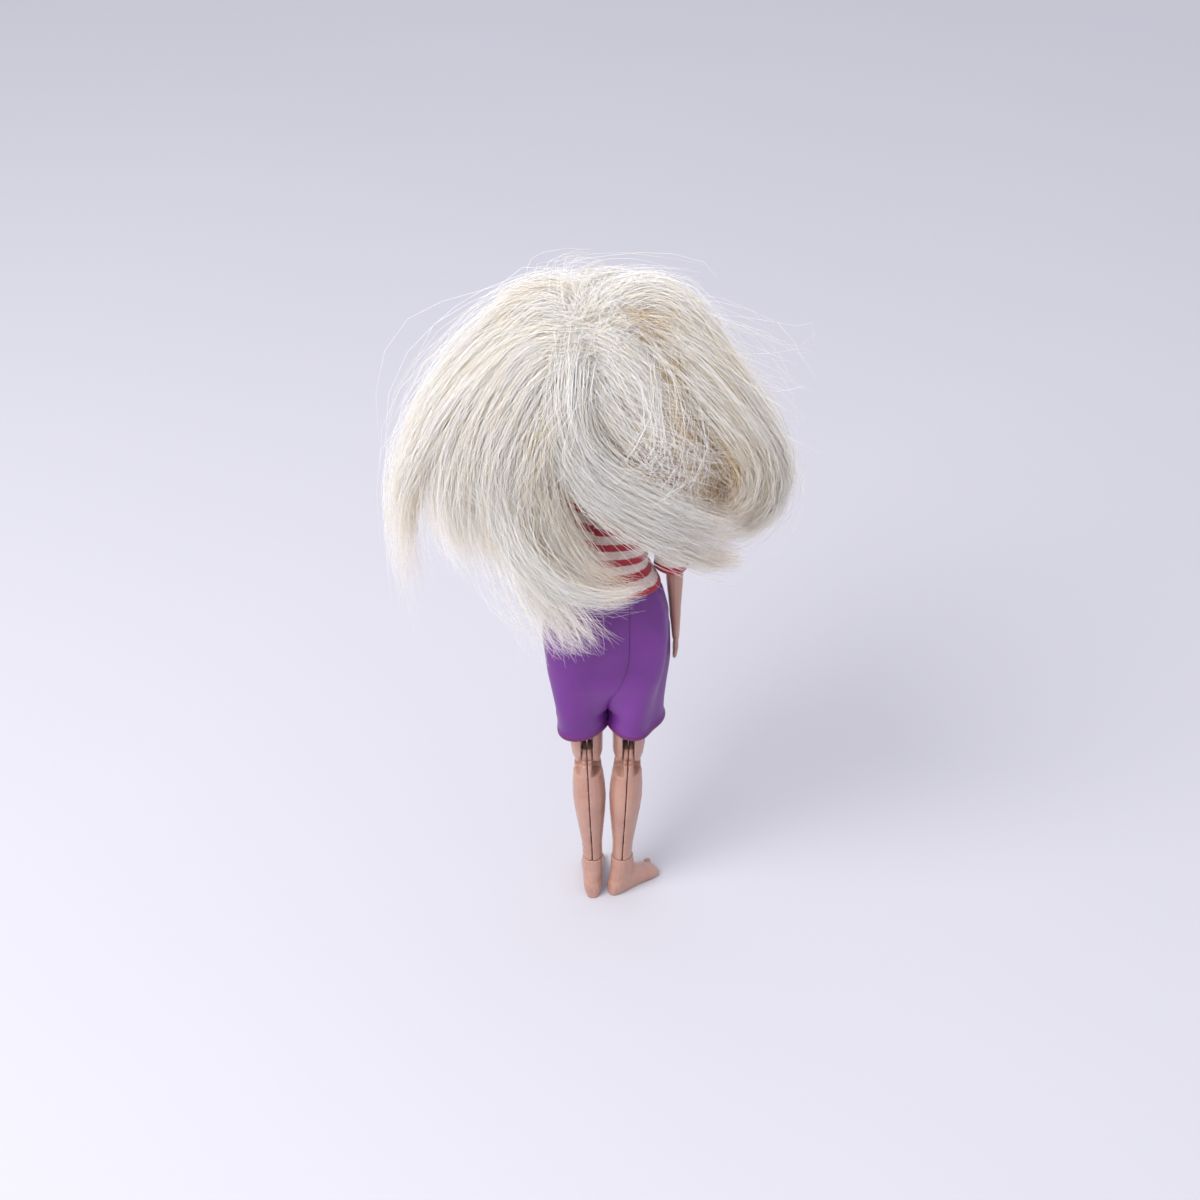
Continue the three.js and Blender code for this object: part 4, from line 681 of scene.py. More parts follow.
shortsCut = {
    "top": 177.5, "hem": 99.5, "crotch": 110, "blendLow": 107, "blendHigh": 131,
    "legSide": 11.4, "legDepth": 13.9, "legWiden": (0.8, 1.6),
    "inner": 30,  # degrees of the leg on each side of the inside
    "outer": 0.84,  # share of the width that goes round the outside
    "twist": 8.5,  # how far the back seam is pulled to the doll's right over the hips
    "twistRise": (112, 146), "twistFrom": 0.4,
    "legMiddle": 9, "legGap": 0.3, "seamGap": 0.05, "closing": 3,
    "foldDepth": 2.3, "gathers": 0.5, "crumple": 1.5, "droop": 0.6, "seamSink": 0.6,
    "hemRoll": 0.9, "hemRollFrom": (102.2, 101.2),
    "height": (97, 116, 128, 147, 160, 170, 174, 177.5),
    "side": (24.5, 25.0, 25.8, 26.6, 25.2, 21.4, 18.6, 18.4),
    "front": (14.5, 15.6, 16.6, 16.8, 16.2, 14.4, 13.2, 13.0),
    "back": (16, 17.6, 19.1, 19.2, 17.6, 14.8, 13.4, 13.2),
    "wall": 0.45,
}


# half of the shorts: a leg tube below the crotch, half of the hips above it, split by the inner seam
def shortsPoint(hand):
    def place(u, v):
        z = shortsCut["hem"] + (shortsCut["top"] - shortsCut["hem"]) * v
        outer = min(u / shortsCut["outer"], 1.0)  # from the front seam round the outside to the back seam
        inner = max((u - shortsCut["outer"]) / (1 - shortsCut["outer"]), 0.0)
        gap = math.radians(shortsCut["inner"])
        turn = gap + outer * (2 * math.pi - 2 * gap) + inner * 2 * gap
        wider, deeper = (more * smoothStep(z, 97, 122) for more in shortsCut["legWiden"])
        legSide = shortsCut["legSide"] + wider
        legDepth = shortsCut["legDepth"] + deeper
        legX = hand * (legSide + shortsCut["legGap"] - legSide * math.cos(turn))
        legY = -legDepth * math.sin(turn)
        side, front, back = outlineAt(shortsCut, z)
        share = smoothStep(z, shortsCut["blendLow"], shortsCut["blendHigh"])
        pulled = smoothStep(z, *shortsCut["twistRise"]) * smoothStep(outer, shortsCut["twistFrom"], 1.0)
        twist = math.asin(shortsCut["twist"] / side) * pulled
        around = math.pi * outer + hand * twist
        hipX = hand * side * math.sin(around)
        hipY = -math.cos(around) * (front if math.cos(around) > 0 else back)
        x = legX + (hipX - legX) * share
        y = legY + (hipY - legY) * share
        if z > shortsCut["crotch"] and inner == 0:
            seamX = -side * math.sin(twist) * share + hand * shortsCut["seamGap"]
            close = 1 - smoothStep(min(outer, 1 - outer), 0.0, 0.1)
            closed = smoothStep(z, shortsCut["crotch"], shortsCut["crotch"] + shortsCut["closing"])
            x += (seamX - x) * close * closed
        free = math.sin(math.pi * outer) if z > shortsCut["crotch"] else 0.5 - 0.5 * math.cos(turn)
        deep = shortsCut["foldDepth"] * (0.3 + 0.7 * smoothStep(z, 172, 118)) * free * smoothStep(z, 176, 166)
        fold = deep * math.sin(4.2 * math.pi * outer + z / 30 + hand * 0.8)
        gathered = math.sin(11 * math.pi * outer + z / 11 + hand) * smoothStep(z, 142, 172)
        fold += shortsCut["gathers"] * free * gathered
        fold += shortsCut["crumple"] * free * noise.noise(Vector((x * 0.07 + hand, y * 0.07, z * 0.03)))
        fold += shortsCut["hemRoll"] * smoothStep(z, *shortsCut["hemRollFrom"])
        middleX = hand * shortsCut["legMiddle"] * (1 - share)
        length = max(math.hypot(x - middleX, y), 1.0)
        x += fold * (x - middleX) / length
        y += fold * y / length
        if inner == 0:  # the sewn edges sink a little
            sunk = math.copysign(1, y) * (1 - smoothStep(min(outer, 1 - outer), 0.0, 0.05)) * share
            y -= shortsCut["seamSink"] * sunk
        droop = shortsCut["droop"] * math.sin(2 * math.pi * outer + 1.0) * smoothStep(z, 118, 97)
        return x, y, z + droop
    return place


def belowCrotch(u, v, at):
    z = shortsCut["hem"] + (shortsCut["top"] - shortsCut["hem"]) * v
    return u <= shortsCut["outer"] + 0.0001 or u >= 0.9999 or z <= shortsCut["crotch"] + 0.5


shortsHalves = {}
for side, hand in sides.items():
    satin = makeSatin(side + "Satin", 80, 81)
    shortsHalves[side] = formedGrid(side + "_satin_half", 84, 56, shortsPoint(hand), satin, belowCrotch)
    thicken(shortsHalves[side], shortsCut["wall"])

# the elastic in the waist and the two closing tapes at the back
waistLook = {"low": 172.9, "high": 177.1, "ease": 1.0, "wall": 0.4}
tapeLook = {
    "low": 176, "high": 237, "edge": 5.9, "wide": 5.2, "wall": 0.3,
    "levels": {"loop": 0.62, "hook": 1.14},  # how far they lie above the under edge of the knit
}


def makeTape(name, around, length, dark, pale):
    material, tree, shader = newMaterial(name, Sheen_Weight=0.2)
    threads = useGroup(tree, threadGroup, {
        "UV": uvPlace(tree), "Across": around / 0.4, "Along": length / 0.5})
    colour = addRamp(tree, threads.outputs["Tone"], [(0.1, dark), (0.9, pale)])
    rough = scaled(tree, threads.outputs["Tone"], 0.15, 0.75)
    wireShader(tree, shader, colour, rough, threads.outputs["Height"], 0.7, 0.0003)
    return material


def elasticPoint(u, v):
    z = waistLook["low"] + (waistLook["high"] - waistLook["low"]) * v
    side, front, back = (half + waistLook["ease"] for half in outlineAt(bodyOutline, z))
    return ringPoint(2 * math.pi * u, z, side, front, back)


def tapePoint(level):
    def place(u, v):
        z = tapeLook["low"] + (tapeLook["high"] - tapeLook["low"]) * v
        side, front, back = knitAt(z, level)
        turn = math.acos(min((tapeLook["edge"] + tapeLook["wide"] * u) / side, 0.95))
        return ringPoint(turn, z, side, front, back)
    return place


elastic = formedGrid("waist_elastic", 96, 4, elasticPoint,
                     makeTape("wovenElastic", 95, 4.2, (0.74, 0.72, 0.69), (0.84, 0.83, 0.81)))
thicken(elastic, waistLook["wall"])
tapes = {}
for kind, level in tapeLook["levels"].items():
    weave = makeTape(kind + "Tape", 5.2, 61, (0.70, 0.69, 0.67), (0.85, 0.84, 0.82))
    tapes[kind] = formedGrid(kind + "_tape", 6, 50, tapePoint(level), weave)
    thicken(tapes[kind], tapeLook["wall"])
print("shorts sewn")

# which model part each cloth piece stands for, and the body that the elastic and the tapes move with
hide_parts("shirt_body")
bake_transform(shirt)
for side, sleeve in sleeves.items():
    hand = sides[side]
    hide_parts(side + "_sleeve")
    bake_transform(sleeve)
for side, half in shortsHalves.items():
    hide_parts("shorts_" + side + "_half")
    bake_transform(half)
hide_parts("shorts_waist_elastic")
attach(elastic, "lower_torso")
for kind, tape in tapes.items():
    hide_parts("shirt_" + kind + "_tape")
    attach(tape, "upper_torso")
print("cloth declared:", 1 + len(sleeves) + len(shortsHalves), "sheets")

# hair

hairLook = {
    "steps": 9,
    "fibre": 0.085,  # radius of a drawn strand
    "taper": ((0, 0.15, 0.7, 1), (0.7, 1, 0.9, 0.25)),  # its thickness along its length
    "core": (0.05, 2.6),  # share of thick strands inside each lock, golden from painted shade, and how much thicker they are
    "roots": 6.0,  # how far the roots scatter over the scalp
    "spread": 0.4,  # how far strands lie from the middle of their clump
    "frizz": (0.2, 8.0, 1.0),  # share of strands that wander off, how far, and how far the others do
    "middle": (0, -6, 250),  # strands are combed outwards from here
    "under": (0.38, 0.25),  # how much painted shade darkens the strands below the others and the thick strands inside a lock
    "toneSpread": (0.07, 0.13),  # of clumps and of single strands
    "shortest": (0.25, 0.86),  # share of its length that a strand and a clump keep at least
    "gather": 0.4,  # how much the strands of a clump close up towards its tip
    "scalpTone": 0.42,
    "depths": (0.56, 0.32, 0.13),
    "honey": (0.90, 0.68, 0.38),
    "cream": (0.97, 0.885, 0.73),
    "white": (0.99, 0.965, 0.91),
}

# Locks as routes from the scalp to the tip. wide and deep are half sizes at the root, the middle
# and the tip, tone runs from golden depths at 0 to near white at 1. A lock without clumps has single hairs.
hairLocks = {
    "leftWisps": dict(
        route=((11, 10, 284), (20, 10, 289), (33, 6, 290), (46, 8, 282), (62, 11, 263), (75, 8, 243),
               (83, 5, 222), (86, 4, 200), (83, 6, 176), (80, 8, 150)),
        wide=(6, 9, 8), deep=(3, 4, 4), strands=190, clumps=22, wave=5.0, tone=0.9),
    "leftOuter": dict(
        route=((11, 11, 284), (19, 14, 288), (31, 12, 288), (43, 13, 280), (56, 14, 266), (66, 13, 250),
               (75, 10, 232), (80, 8, 213), (81, 8, 190)),
        wide=(7, 10, 8), deep=(4, 6, 4), strands=680, clumps=40, wave=3.6, tone=0.88),
    "leftMiddle": dict(
        route=((11, 13, 284), (18, 17, 288), (28, 16, 288), (39, 18, 279), (50, 20, 265), (58, 19, 248),
               (62, 18, 230), (63, 18, 212), (58, 20, 197), (52, 22, 184)),
        wide=(7, 12, 9), deep=(4, 7, 5), strands=720, clumps=44, wave=3.4, tone=0.84),
    "leftInner": dict(
        route=((11, 14, 284), (18, 19, 288), (26, 20, 287), (36, 23, 278), (44, 24, 263), (49, 24, 246),
               (51, 24, 226), (49, 25, 207), (41, 27, 191)),
        wide=(6, 11, 8), deep=(4, 7, 5), strands=660, clumps=44, wave=3.2, tone=0.82),
    "leftBack": dict(
        route=((10, 15, 284), (16, 21, 287), (23, 23, 284), (29, 26, 273), (35, 28, 258), (38, 29, 239),
               (36, 29, 220), (29, 31, 202), (17, 33, 189)),
        wide=(5, 9, 8), deep=(4, 6, 5), strands=660, clumps=40, wave=3.0, tone=0.8),
    "centreBack": dict(
        route=((10, 15, 284), (15, 21, 286), (19, 25, 281), (24, 28, 269), (26, 30, 254), (27, 31, 237),
               (22, 32, 219), (12, 34, 201), (-2, 35, 191), (-17, 34, 190)),
        wide=(5, 7, 6), deep=(4, 6, 5), strands=720, clumps=40, wave=2.6, tone=0.8),
    # painted shade: a dark golden lock in the gap between the locks stands for the shade there
    "goldenGap": dict(
        route=((10, 14, 284), (15, 20, 284), (17, 23, 276), (20, 25, 264), (19, 26, 251), (17, 27, 238),
               (14, 27, 226)),
        wide=(4, 7, 5), deep=(3, 4, 3), strands=370, clumps=9, wave=1.2, tone=0.36),
    "lowLock": dict(
        route=((40, 27, 238), (40, 31, 222), (36, 34, 210), (27, 37, 199), (13, 39, 191), (-2, 39, 188),
               (-18, 37, 191)),
        wide=(6, 7, 4), deep=(4, 5, 3), strands=620, clumps=30, wave=2.4, tone=0.95),
    "lowSpikes": dict(
        route=((38, 28, 212), (30, 34, 196), (21, 37, 181), (13, 38, 168), (8, 38, 160)),
        wide=(10, 12, 15), deep=(4, 4, 4), strands=260, clumps=26, wave=4.0, tone=0.9),
    "leftUnder": dict(
        route=((6, 4, 288), (18, 4, 292), (32, 2, 285), (43, 3, 268), (50, 6, 246), (54, 9, 222),
               (52, 13, 196)),
        wide=(8, 13, 10), deep=(4, 7, 5), strands=400, clumps=16, wave=2.4, tone=0.62),
    "bigSweep": dict(
        route=((10, 14, 285), (15, 21, 289), (17, 28, 280), (18, 33, 266), (13, 36, 251), (2, 37, 239),
               (-13, 37, 230), (-30, 35, 222), (-45, 32, 215), (-56, 29, 213)),
        wide=(4, 9, 6), deep=(3, 5, 4), strands=900, clumps=44, wave=2.6, tone=1.0),
    "paleLobe": dict(
        route=((8, 12, 286), (11, 17, 290), (4, 23, 281), (-3, 28, 266), (-9, 30, 252), (-14, 30, 240)),
        wide=(5, 9, 6), deep=(3, 5, 4), strands=620, clumps=30, wave=2.4, tone=0.86),
    "topRight": dict(
        route=((8, 11, 288), (1, 9, 298), (-9, 5, 302), (-19, 4, 301), (-29, 5, 295), (-37, 9, 284),
               (-45, 12, 269), (-53, 13, 253), (-58, 13, 241)),
        wide=(6, 7, 7), deep=(3, 5, 4), strands=620, clumps=34, wave=3.2, tone=0.88),
    "innerCurl": dict(
        route=((7, 12, 288), (-10, 13, 292), (-29, 18, 276), (-43, 22, 262), (-53, 22, 248), (-56, 22, 234),
               (-51, 24, 222), (-42, 27, 219), (-35, 28, 225)),
        wide=(5, 7, 5), deep=(3, 5, 4), strands=640, clumps=20, wave=2.2, tone=0.72),
    "outerCurl": dict(
        route=((6, 10, 289), (-18, 9, 294), (-41, 14, 275), (-54, 16, 257), (-63, 15, 241), (-66, 15, 226),
               (-61, 18, 213), (-49, 22, 208), (-37, 25, 211)),
        wide=(6, 6, 5), deep=(3, 5, 4), strands=720, clumps=24, wave=2.4, tone=0.82),
    "lowRight": dict(
        route=((9, 15, 283), (13, 24, 274), (14, 31, 255), (5, 35, 235), (-14, 35, 219), (-31, 32, 207),
               (-47, 28, 199), (-56, 25, 198)),
        wide=(4, 7, 6), deep=(3, 5, 4), strands=680, clumps=30, wave=2.2, tone=0.84),
    # painted shade: a dark golden-brown layer under the right side stands for the shadowed inside of the hair
    "brownUnder": dict(
        route=((-2, 6, 288), (-12, 8, 290), (-23, 10, 280), (-31, 13, 264), (-38, 15, 248), (-44, 17, 230),
               (-42, 19, 214)),
        wide=(7, 9, 7), deep=(3, 5, 4), strands=400, clumps=12, wave=2.0, tone=0.34),
    "crossing": dict(
        route=((6, 14, 288), (-2, 22, 282), (-14, 27, 270), (-28, 27, 258), (-42, 25, 244), (-54, 23, 230)),
        wide=(6, 16, 18), deep=(4, 6, 6), strands=260, wave=9.0, tone=0.94),
    "topCentre": dict(
        route=((9, 13, 288), (7, 7, 298), (4, -2, 302), (0, -10, 299), (-4, -18, 290), (-8, -22, 278)),
        wide=(8, 13, 12), deep=(3, 4, 4), strands=420, clumps=40, wave=4.0, tone=0.9),
    "topLeft": dict(
        route=((10, 12, 288), (15, 9, 297), (24, 8, 300), (35, 10, 294), (46, 13, 281), (54, 15, 264),
               (59, 15, 248)),
        wide=(7, 10, 9), deep=(3, 4, 4), strands=760, clumps=40, wave=4.0, tone=0.9),
    "crownSheen": dict(
        route=((10, 14, 287), (4, 21, 289), (-5, 24, 285), (-14, 26, 276), (-22, 27, 264), (-28, 27, 252)),
        wide=(5, 10, 9), deep=(2, 3, 4), strands=620, clumps=34, wave=3.4, tone=0.96),
    # painted shade: this lock is toned dark, brown-pink, for the shadowed zone on the right
    "rightFill": dict(
        route=((2, 12, 288), (-16, 16, 281), (-29, 19, 263), (-37, 19, 246), (-40, 20, 231), (-38, 22, 216),
               (-34, 24, 204)),
        wide=(6, 10, 11), deep=(3, 5, 4), strands=820, clumps=60, wave=4.0, tone=0.34),
    # painted shade: a dark golden lock inside the right curl stands for the shade in its hollow
    "curlHeart": dict(
        route=((-30, 20, 262), (-40, 22, 252), (-48, 23, 242), (-50, 24, 232), (-44, 26, 227)),
        wide=(6, 7, 6), deep=(3, 4, 4), strands=320, clumps=16, wave=2.4, tone=0.34),
    # painted shade: dark strands for the shadowed inside of the hair, high on the right
    "brownHigh": dict(
        route=((-8, 15, 296), (-14, 15, 295), (-20, 17, 290), (-25, 19, 283)),
        wide=(4, 6, 5), deep=(2, 2, 2), strands=170, wave=2.6, tone=0.3),
    # painted shade: dark strands for the shadowed inside of the hair, at the right side
    "brownSide": dict(
        route=((-20, 20, 282), (-27, 25, 269), (-31, 28, 254), (-33, 29, 240)),
        wide=(4, 8, 6), deep=(2, 2, 2), strands=220, wave=2.6, tone=0.34),
    "messLeft": dict(
        route=((10, 16, 285), (26, 25, 279), (40, 29, 262), (46, 31, 240), (40, 34, 216), (26, 38, 196)),
        wide=(10, 24, 26), deep=(3, 4, 5), strands=240, wave=9.0, tone=0.95),
    "messRight": dict(
        route=((12, 18, 284), (8, 29, 272), (-4, 34, 258), (-20, 34, 246), (-38, 31, 236), (-54, 27, 230)),
        wide=(10, 22, 24), deep=(3, 4, 5), strands=170, wave=9.0, tone=0.95),
    "messCross": dict(
        route=((-16, 14, 292), (-26, 22, 276), (-30, 28, 258), (-28, 32, 242), (-20, 35, 228), (-8, 37, 218)),
        wide=(8, 20, 22), deep=(3, 4, 4), strands=120, wave=10.0, tone=0.92),
    "frontLeft": dict(
        route=((6, 0, 292), (11, -11, 288), (9, -21, 277), (9, -24, 262), (9, -25, 246), (9, -25, 230),
               (9, -26, 212)),
        wide=(5, 5, 4), deep=(3, 3, 3), strands=380, clumps=10, wave=1.4, tone=0.8),
    "frontRight": dict(
        route=((-2, 0, 292), (-12, -1, 290), (-20, -2, 278), (-24, -3, 262), (-26, -8, 246), (-26, -15, 230),
               (-25, -18, 210)),
        wide=(5, 5, 4), deep=(3, 3, 3), strands=380, clumps=10, wave=1.4, tone=0.78),
    "rightUnder": dict(
        route=((-4, -2, 288), (-18, -2, 292), (-31, -2, 282), (-40, 0, 264), (-46, 4, 243), (-48, 8, 220)),
        wide=(8, 11, 9), deep=(4, 6, 5), strands=320, clumps=14, wave=2.2, tone=0.7),
}

# loose sheets of hair between neighbouring locks, which hide the partings between them
hairCurtains = {
    "leftCurtain": dict(
        between=("leftWisps", "leftOuter", "leftMiddle", "leftInner"),
        wide=(9, 9, 8), deep=(4, 6, 5), strands=2300, clumps=130, wave=5.0, tone=0.9),
    "backCurtain": dict(
        between=("leftInner", "leftBack", "centreBack"),
        wide=(8, 8, 7), deep=(4, 5, 4), strands=1700, clumps=100, wave=3.6, tone=0.88),
    "rightCurtain": dict(
        between=("bigSweep", "lowRight"),
        wide=(8, 8, 8), deep=(4, 6, 5), strands=900, clumps=90, wave=4.5, tone=0.97),
    "outerCurtain": dict(
        between=("innerCurl", "outerCurl", "topRight"),
        wide=(7, 7, 6), deep=(4, 6, 5), strands=1150, clumps=90, wave=3.8, tone=0.8),
    # painted shade: a dark golden sheet under the locks shows as shade in the partings
    "underCurtain": dict(
        between=("leftUnder", "leftBack", "goldenGap", "brownUnder", "rightUnder"),
        wide=(9, 9, 8), deep=(4, 5, 5), strands=750, clumps=60, wave=2.4, tone=0.42),
}

# single hairs that stand off the mass
hairStrays = {
    "crownTuft": dict(
        route=((8, 11, 289), (6, 9, 298), (2, 7, 304), (-4, 6, 306)),
        wide=(12, 20, 26), deep=(7, 9, 10), strands=150, wave=6.0, tone=0.94),
    "strayRight": dict(
        route=((-6, 10, 292), (-26, 14, 290), (-48, 16, 276), (-66, 14, 262), (-80, 12, 256)),
        wide=(8, 18, 22), deep=(4, 8, 10), strands=70, wave=10.0, tone=0.94),
    "strayTop": dict(
        route=((8, 8, 289), (4, 9, 296), (-4, 10, 300), (-16, 12, 299), (-30, 16, 290)),
        wide=(12, 26, 30), deep=(4, 5, 8), strands=60, wave=8.0, tone=0.94),
    "strayLeft": dict(
        route=((12, 8, 290), (30, 8, 297), (50, 10, 286), (66, 10, 268), (76, 8, 244), (80, 8, 214)),
        wide=(8, 12, 10), deep=(4, 9, 9), strands=60, wave=8.0, tone=0.92),
    "strayLow": dict(
        route=((44, 26, 230), (40, 32, 206), (32, 36, 188), (22, 38, 172), (14, 39, 158)),
        wide=(14, 22, 24), deep=(4, 6, 6), strands=150, wave=8.0, tone=0.94),
}

hairRoom = ((-79, -50, 140), (91, 45, 308))  # no stray hair reaches beyond these corners

# the scalp and the body that no strand enters, as rounded blocks: middle and half sizes
hairKeepOut = (
    ((0, 1, 270), (18.5, 20, 24)),
    ((0, 0, 212), (25, 17, 34)),
    ((0, 0, 160), (28, 21, 40)),
    ((-27, 2, 214), (9, 9, 30)),
)


def routeAt(route, shares):
    points = np.array(route, float)
    padded = np.vstack([2 * points[0] - points[1], points, 2 * points[-1] - points[-2]])
    spans = len(points) - 1
    at = np.clip(shares * spans, 0, spans - 1e-6)
    first = at.astype(int)
    f = (at - first)[..., None]
    a, b, c, d = (padded[first + i] for i in range(4))
    return 0.5 * (2 * b + (c - a) * f + (2 * a - 5 * b + 4 * c - d) * f**2 + (3 * b - a - 3 * c + d) * f**3)


def unit(vectors):
    return vectors / np.maximum(np.linalg.norm(vectors, axis=-1, keepdims=True), 1e-9)


def keepOutside(points):
    for middle, half in hairKeepOut:
        away = (points - np.array(middle)) / np.array(half)
        far = np.linalg.norm(away, axis=-1, keepdims=True)
        pushed = np.array(middle) + (points - np.array(middle)) / np.maximum(far, 0.05)
        points = np.where(far < 1, pushed, points)
    return points


# a slow wave that a clump shares and a quicker one of each strand
def waving(slow, quick, shares, phase, loose):
    return np.sin(slow * shares + phase[:, None]) + 0.5 * np.sin(quick * shares + loose[:, None])


# the strands of one lock or curtain: clumps that spread from the route, fibres that wander in each clump
def combLock(lock, rng):
    loosely = "between" in lock
    routes = [hairLocks[name]["route"] for name in lock["between"]] if loosely else [lock["route"]]
    count = lock["strands"]
    clumps = lock.get("clumps", count)
    steps = hairLook["steps"]
    clump = rng.integers(0, clumps, count)
    turn = rng.uniform(0, 2 * math.pi, clumps)
    reach = np.sqrt(rng.uniform(0, 1, clumps))
    clumpAt = np.stack([np.cos(turn) * reach, np.sin(turn) * reach], -1)[clump]
    own = rng.normal(0, hairLook["spread"], (count, 2))
    lengths = rng.beta(2.6 if loosely else 4.5, 1.05, count)
    leastStrand, leastClump = hairLook["shortest"]
    lengths = (leastStrand + (1 - leastStrand) * lengths) * rng.uniform(leastClump, 1.0, clumps)[clump]
    core = rng.uniform(0, 1, count) < (hairLook["core"][0] if clumps < count else 0)
    own[core] *= 0.3
    clumpAt[core] *= 0.4
    shares = np.linspace(0, 1, steps)[None] * lengths[:, None]
    place = rng.uniform(0, len(routes) - 1, clumps)[clump] + rng.normal(0, 0.16, count)
    place = np.clip(place, 0, len(routes) - 1)

    def middleAt(shares):
        near = np.maximum(1 - np.abs(place[None] - np.arange(len(routes))[:, None]), 0)
        return sum(share[:, None, None] * routeAt(route, shares) for share, route in zip(near, routes))

    middle = middleAt(shares)
    ahead = unit(middleAt(np.minimum(shares + 0.02, 1)) - middleAt(shares - 0.02))
    outward = unit((middle - np.array(hairLook["middle"])) * np.array((1, 1.2, 0.6)))
    across = unit(np.cross(ahead, outward))
    normal = np.cross(across, ahead)
    wide = np.interp(shares, (0, 0.5, 1), lock["wide"])
    deep = np.interp(shares, (0, 0.5, 1), lock["deep"])
    gather = 1 - hairLook["gather"] * shares
    phase = rng.uniform(0, 2 * math.pi, (2, clumps))[:, clump]
    loose = rng.uniform(0, 2 * math.pi, (2, count))
    waves = lock["wave"] * shares
    aside = clumpAt[:, :1] * wide + own[:, :1] * wide * gather
    aside += waves * waving(5, 12, shares, phase[0], loose[0])
    proud = clumpAt[:, 1:] * deep + own[:, 1:] * deep * gather
    proud += 0.6 * waves * waving(6, 11, shares, phase[1], loose[1])
    share, far, near = hairLook["frizz"]
    amount = np.where(rng.uniform(0, 1, count) < share, far, near)[:, None] * shares
    for rate in (3.0, 7.0):  # slow and quick wandering of single strands
        starts = rng.uniform(0, 2 * math.pi, (2, count, 1))
        aside += amount * rng.normal(0, 2.0 / rate, (count, 1)) * np.sin(rate * shares + starts[0])
        proud += amount * rng.normal(0, 2.0 / rate, (count, 1)) * np.sin(rate * shares + starts[1])
    points = middle + across * aside[..., None] + normal * proud[..., None]
    roots = rng.normal(0, hairLook["roots"], (count, 1, 3)) * np.array((1, 0.8, 0.5))
    points = keepOutside(points + roots * np.clip(1 - 4 * shares, 0, 1)[..., None] ** 2)
    points = np.clip(points, hairRoom[0], hairRoom[1])
    inner = np.clip(-(clumpAt[:, 1] + own[:, 1]), 0, 1)  # strands under the others get painted shade, which makes them golden
    clumpTone, strandTone = hairLook["toneSpread"]
    tone = lock["tone"] + rng.normal(0, clumpTone, clumps)[clump] + rng.normal(0, strandTone, count)
    # painted shade: strands under the others and the thick core strands are toned darker and more golden
    tone -= hairLook["under"][0] * inner + hairLook["under"][1] * core
    return points, np.clip(tone, 0, 1), np.where(core, hairLook["core"][1], 1.0)


def makeHairMaterial(name):
    material, tree, shader = newMaterial(
        name, Specular_IOR_Level=0.35, Anisotropic=0.4, Subsurface_Weight=0.35, Subsurface_Scale=0.001,
        Subsurface_Radius=(1.0, 0.7, 0.4))
    tone = addNode(tree, "ShaderNodeAttribute", attribute_name="strandTone").outputs["Fac"]
    patch = addNoise(tree, objectPlace(tree), 70.0, 3.0)
    shade = addMath(tree, "ADD", tone, times(tree, addMath(tree, "SUBTRACT", patch, 0.5), 0.35))
    stops = ((0.1, "depths"), (0.4, "honey"), (0.72, "cream"), (0.96, "white"))
    colour = addRamp(tree, shade, [(share, hairLook[key]) for share, key in stops])
    wireShader(tree, shader, colour, scaled(tree, patch, 0.2, 0.36))
    return material


def setTone(mesh, values):
    shade = mesh.attributes.new("strandTone", "FLOAT", "POINT")
    shade.data.foreach_set("value", values)


def fibreProfile():
    curve = bpy.data.curves.new("fibreSection", "CURVE")
    curve.dimensions = "2D"
    ring = curve.splines.new("POLY")
    ring.points.add(2)
    for i, point in enumerate(ring.points):
        turn = 2 * math.pi * i / 3
        point.co = (math.cos(turn), math.sin(turn), 0, 1)
    ring.use_cyclic_u = True
    return addObject("fibreSection", curve)


# curves with a three-sided section, made into one mesh that carries each strand's tone
def strandPiece(name, paths, tones, sizes, section, material):
    count, steps, _ = paths.shape
    curve = bpy.data.curves.new(name, "CURVE")
    curve.dimensions = "3D"
    curve.bevel_mode = "OBJECT"
    curve.bevel_object = section
    taper = np.interp(np.linspace(0, 1, steps), *hairLook["taper"]) * hairLook["fibre"] * mm
    x, y, z = np.moveaxis(paths, -1, 0)
    ahead, up = leant(y, z)
    placed = np.stack([axisX + x * mm, axisY + ahead * mm, up * mm, np.ones_like(x)], -1)
    for path, size in zip(placed, sizes):
        strand = curve.splines.new("POLY")
        strand.points.add(steps - 1)
        strand.points.foreach_set("co", path.ravel())
        strand.points.foreach_set("radius", taper * size)
    drawn = addObject(name, curve)
    bpy.context.view_layer.update()
    mesh = bpy.data.meshes.new_from_object(drawn.evaluated_get(bpy.context.evaluated_depsgraph_get()))
    bpy.data.objects.remove(drawn)
    bpy.data.curves.remove(curve)
    mesh.name = name
    setTone(mesh, np.repeat(tones, len(mesh.vertices) // count).astype(np.float32))
    return addPiece(name, mesh, material)


# short combed hair over the whole scalp, running away from the whorl at the back of the crown
scalpLook = {
    "whorl": (0.108, 0.797, 0.594), "strands": 1600, "proud": (0.8, 3.2), "tone": 0.74,
    "from": (0.05, 1.3), "length": (0.6, 1.1), "bend": 0.12,  # angles over the scalp
    # where no strand goes and where the scalp is open, as shares of the head
    "face": -0.32, "hairline": 0.72, "arch": 1.1, "nape": -0.62,
    "lift": 0.7, "bareFace": -0.3, "bareLine": 0.76, "bareNape": (-0.6, 0.25),
}


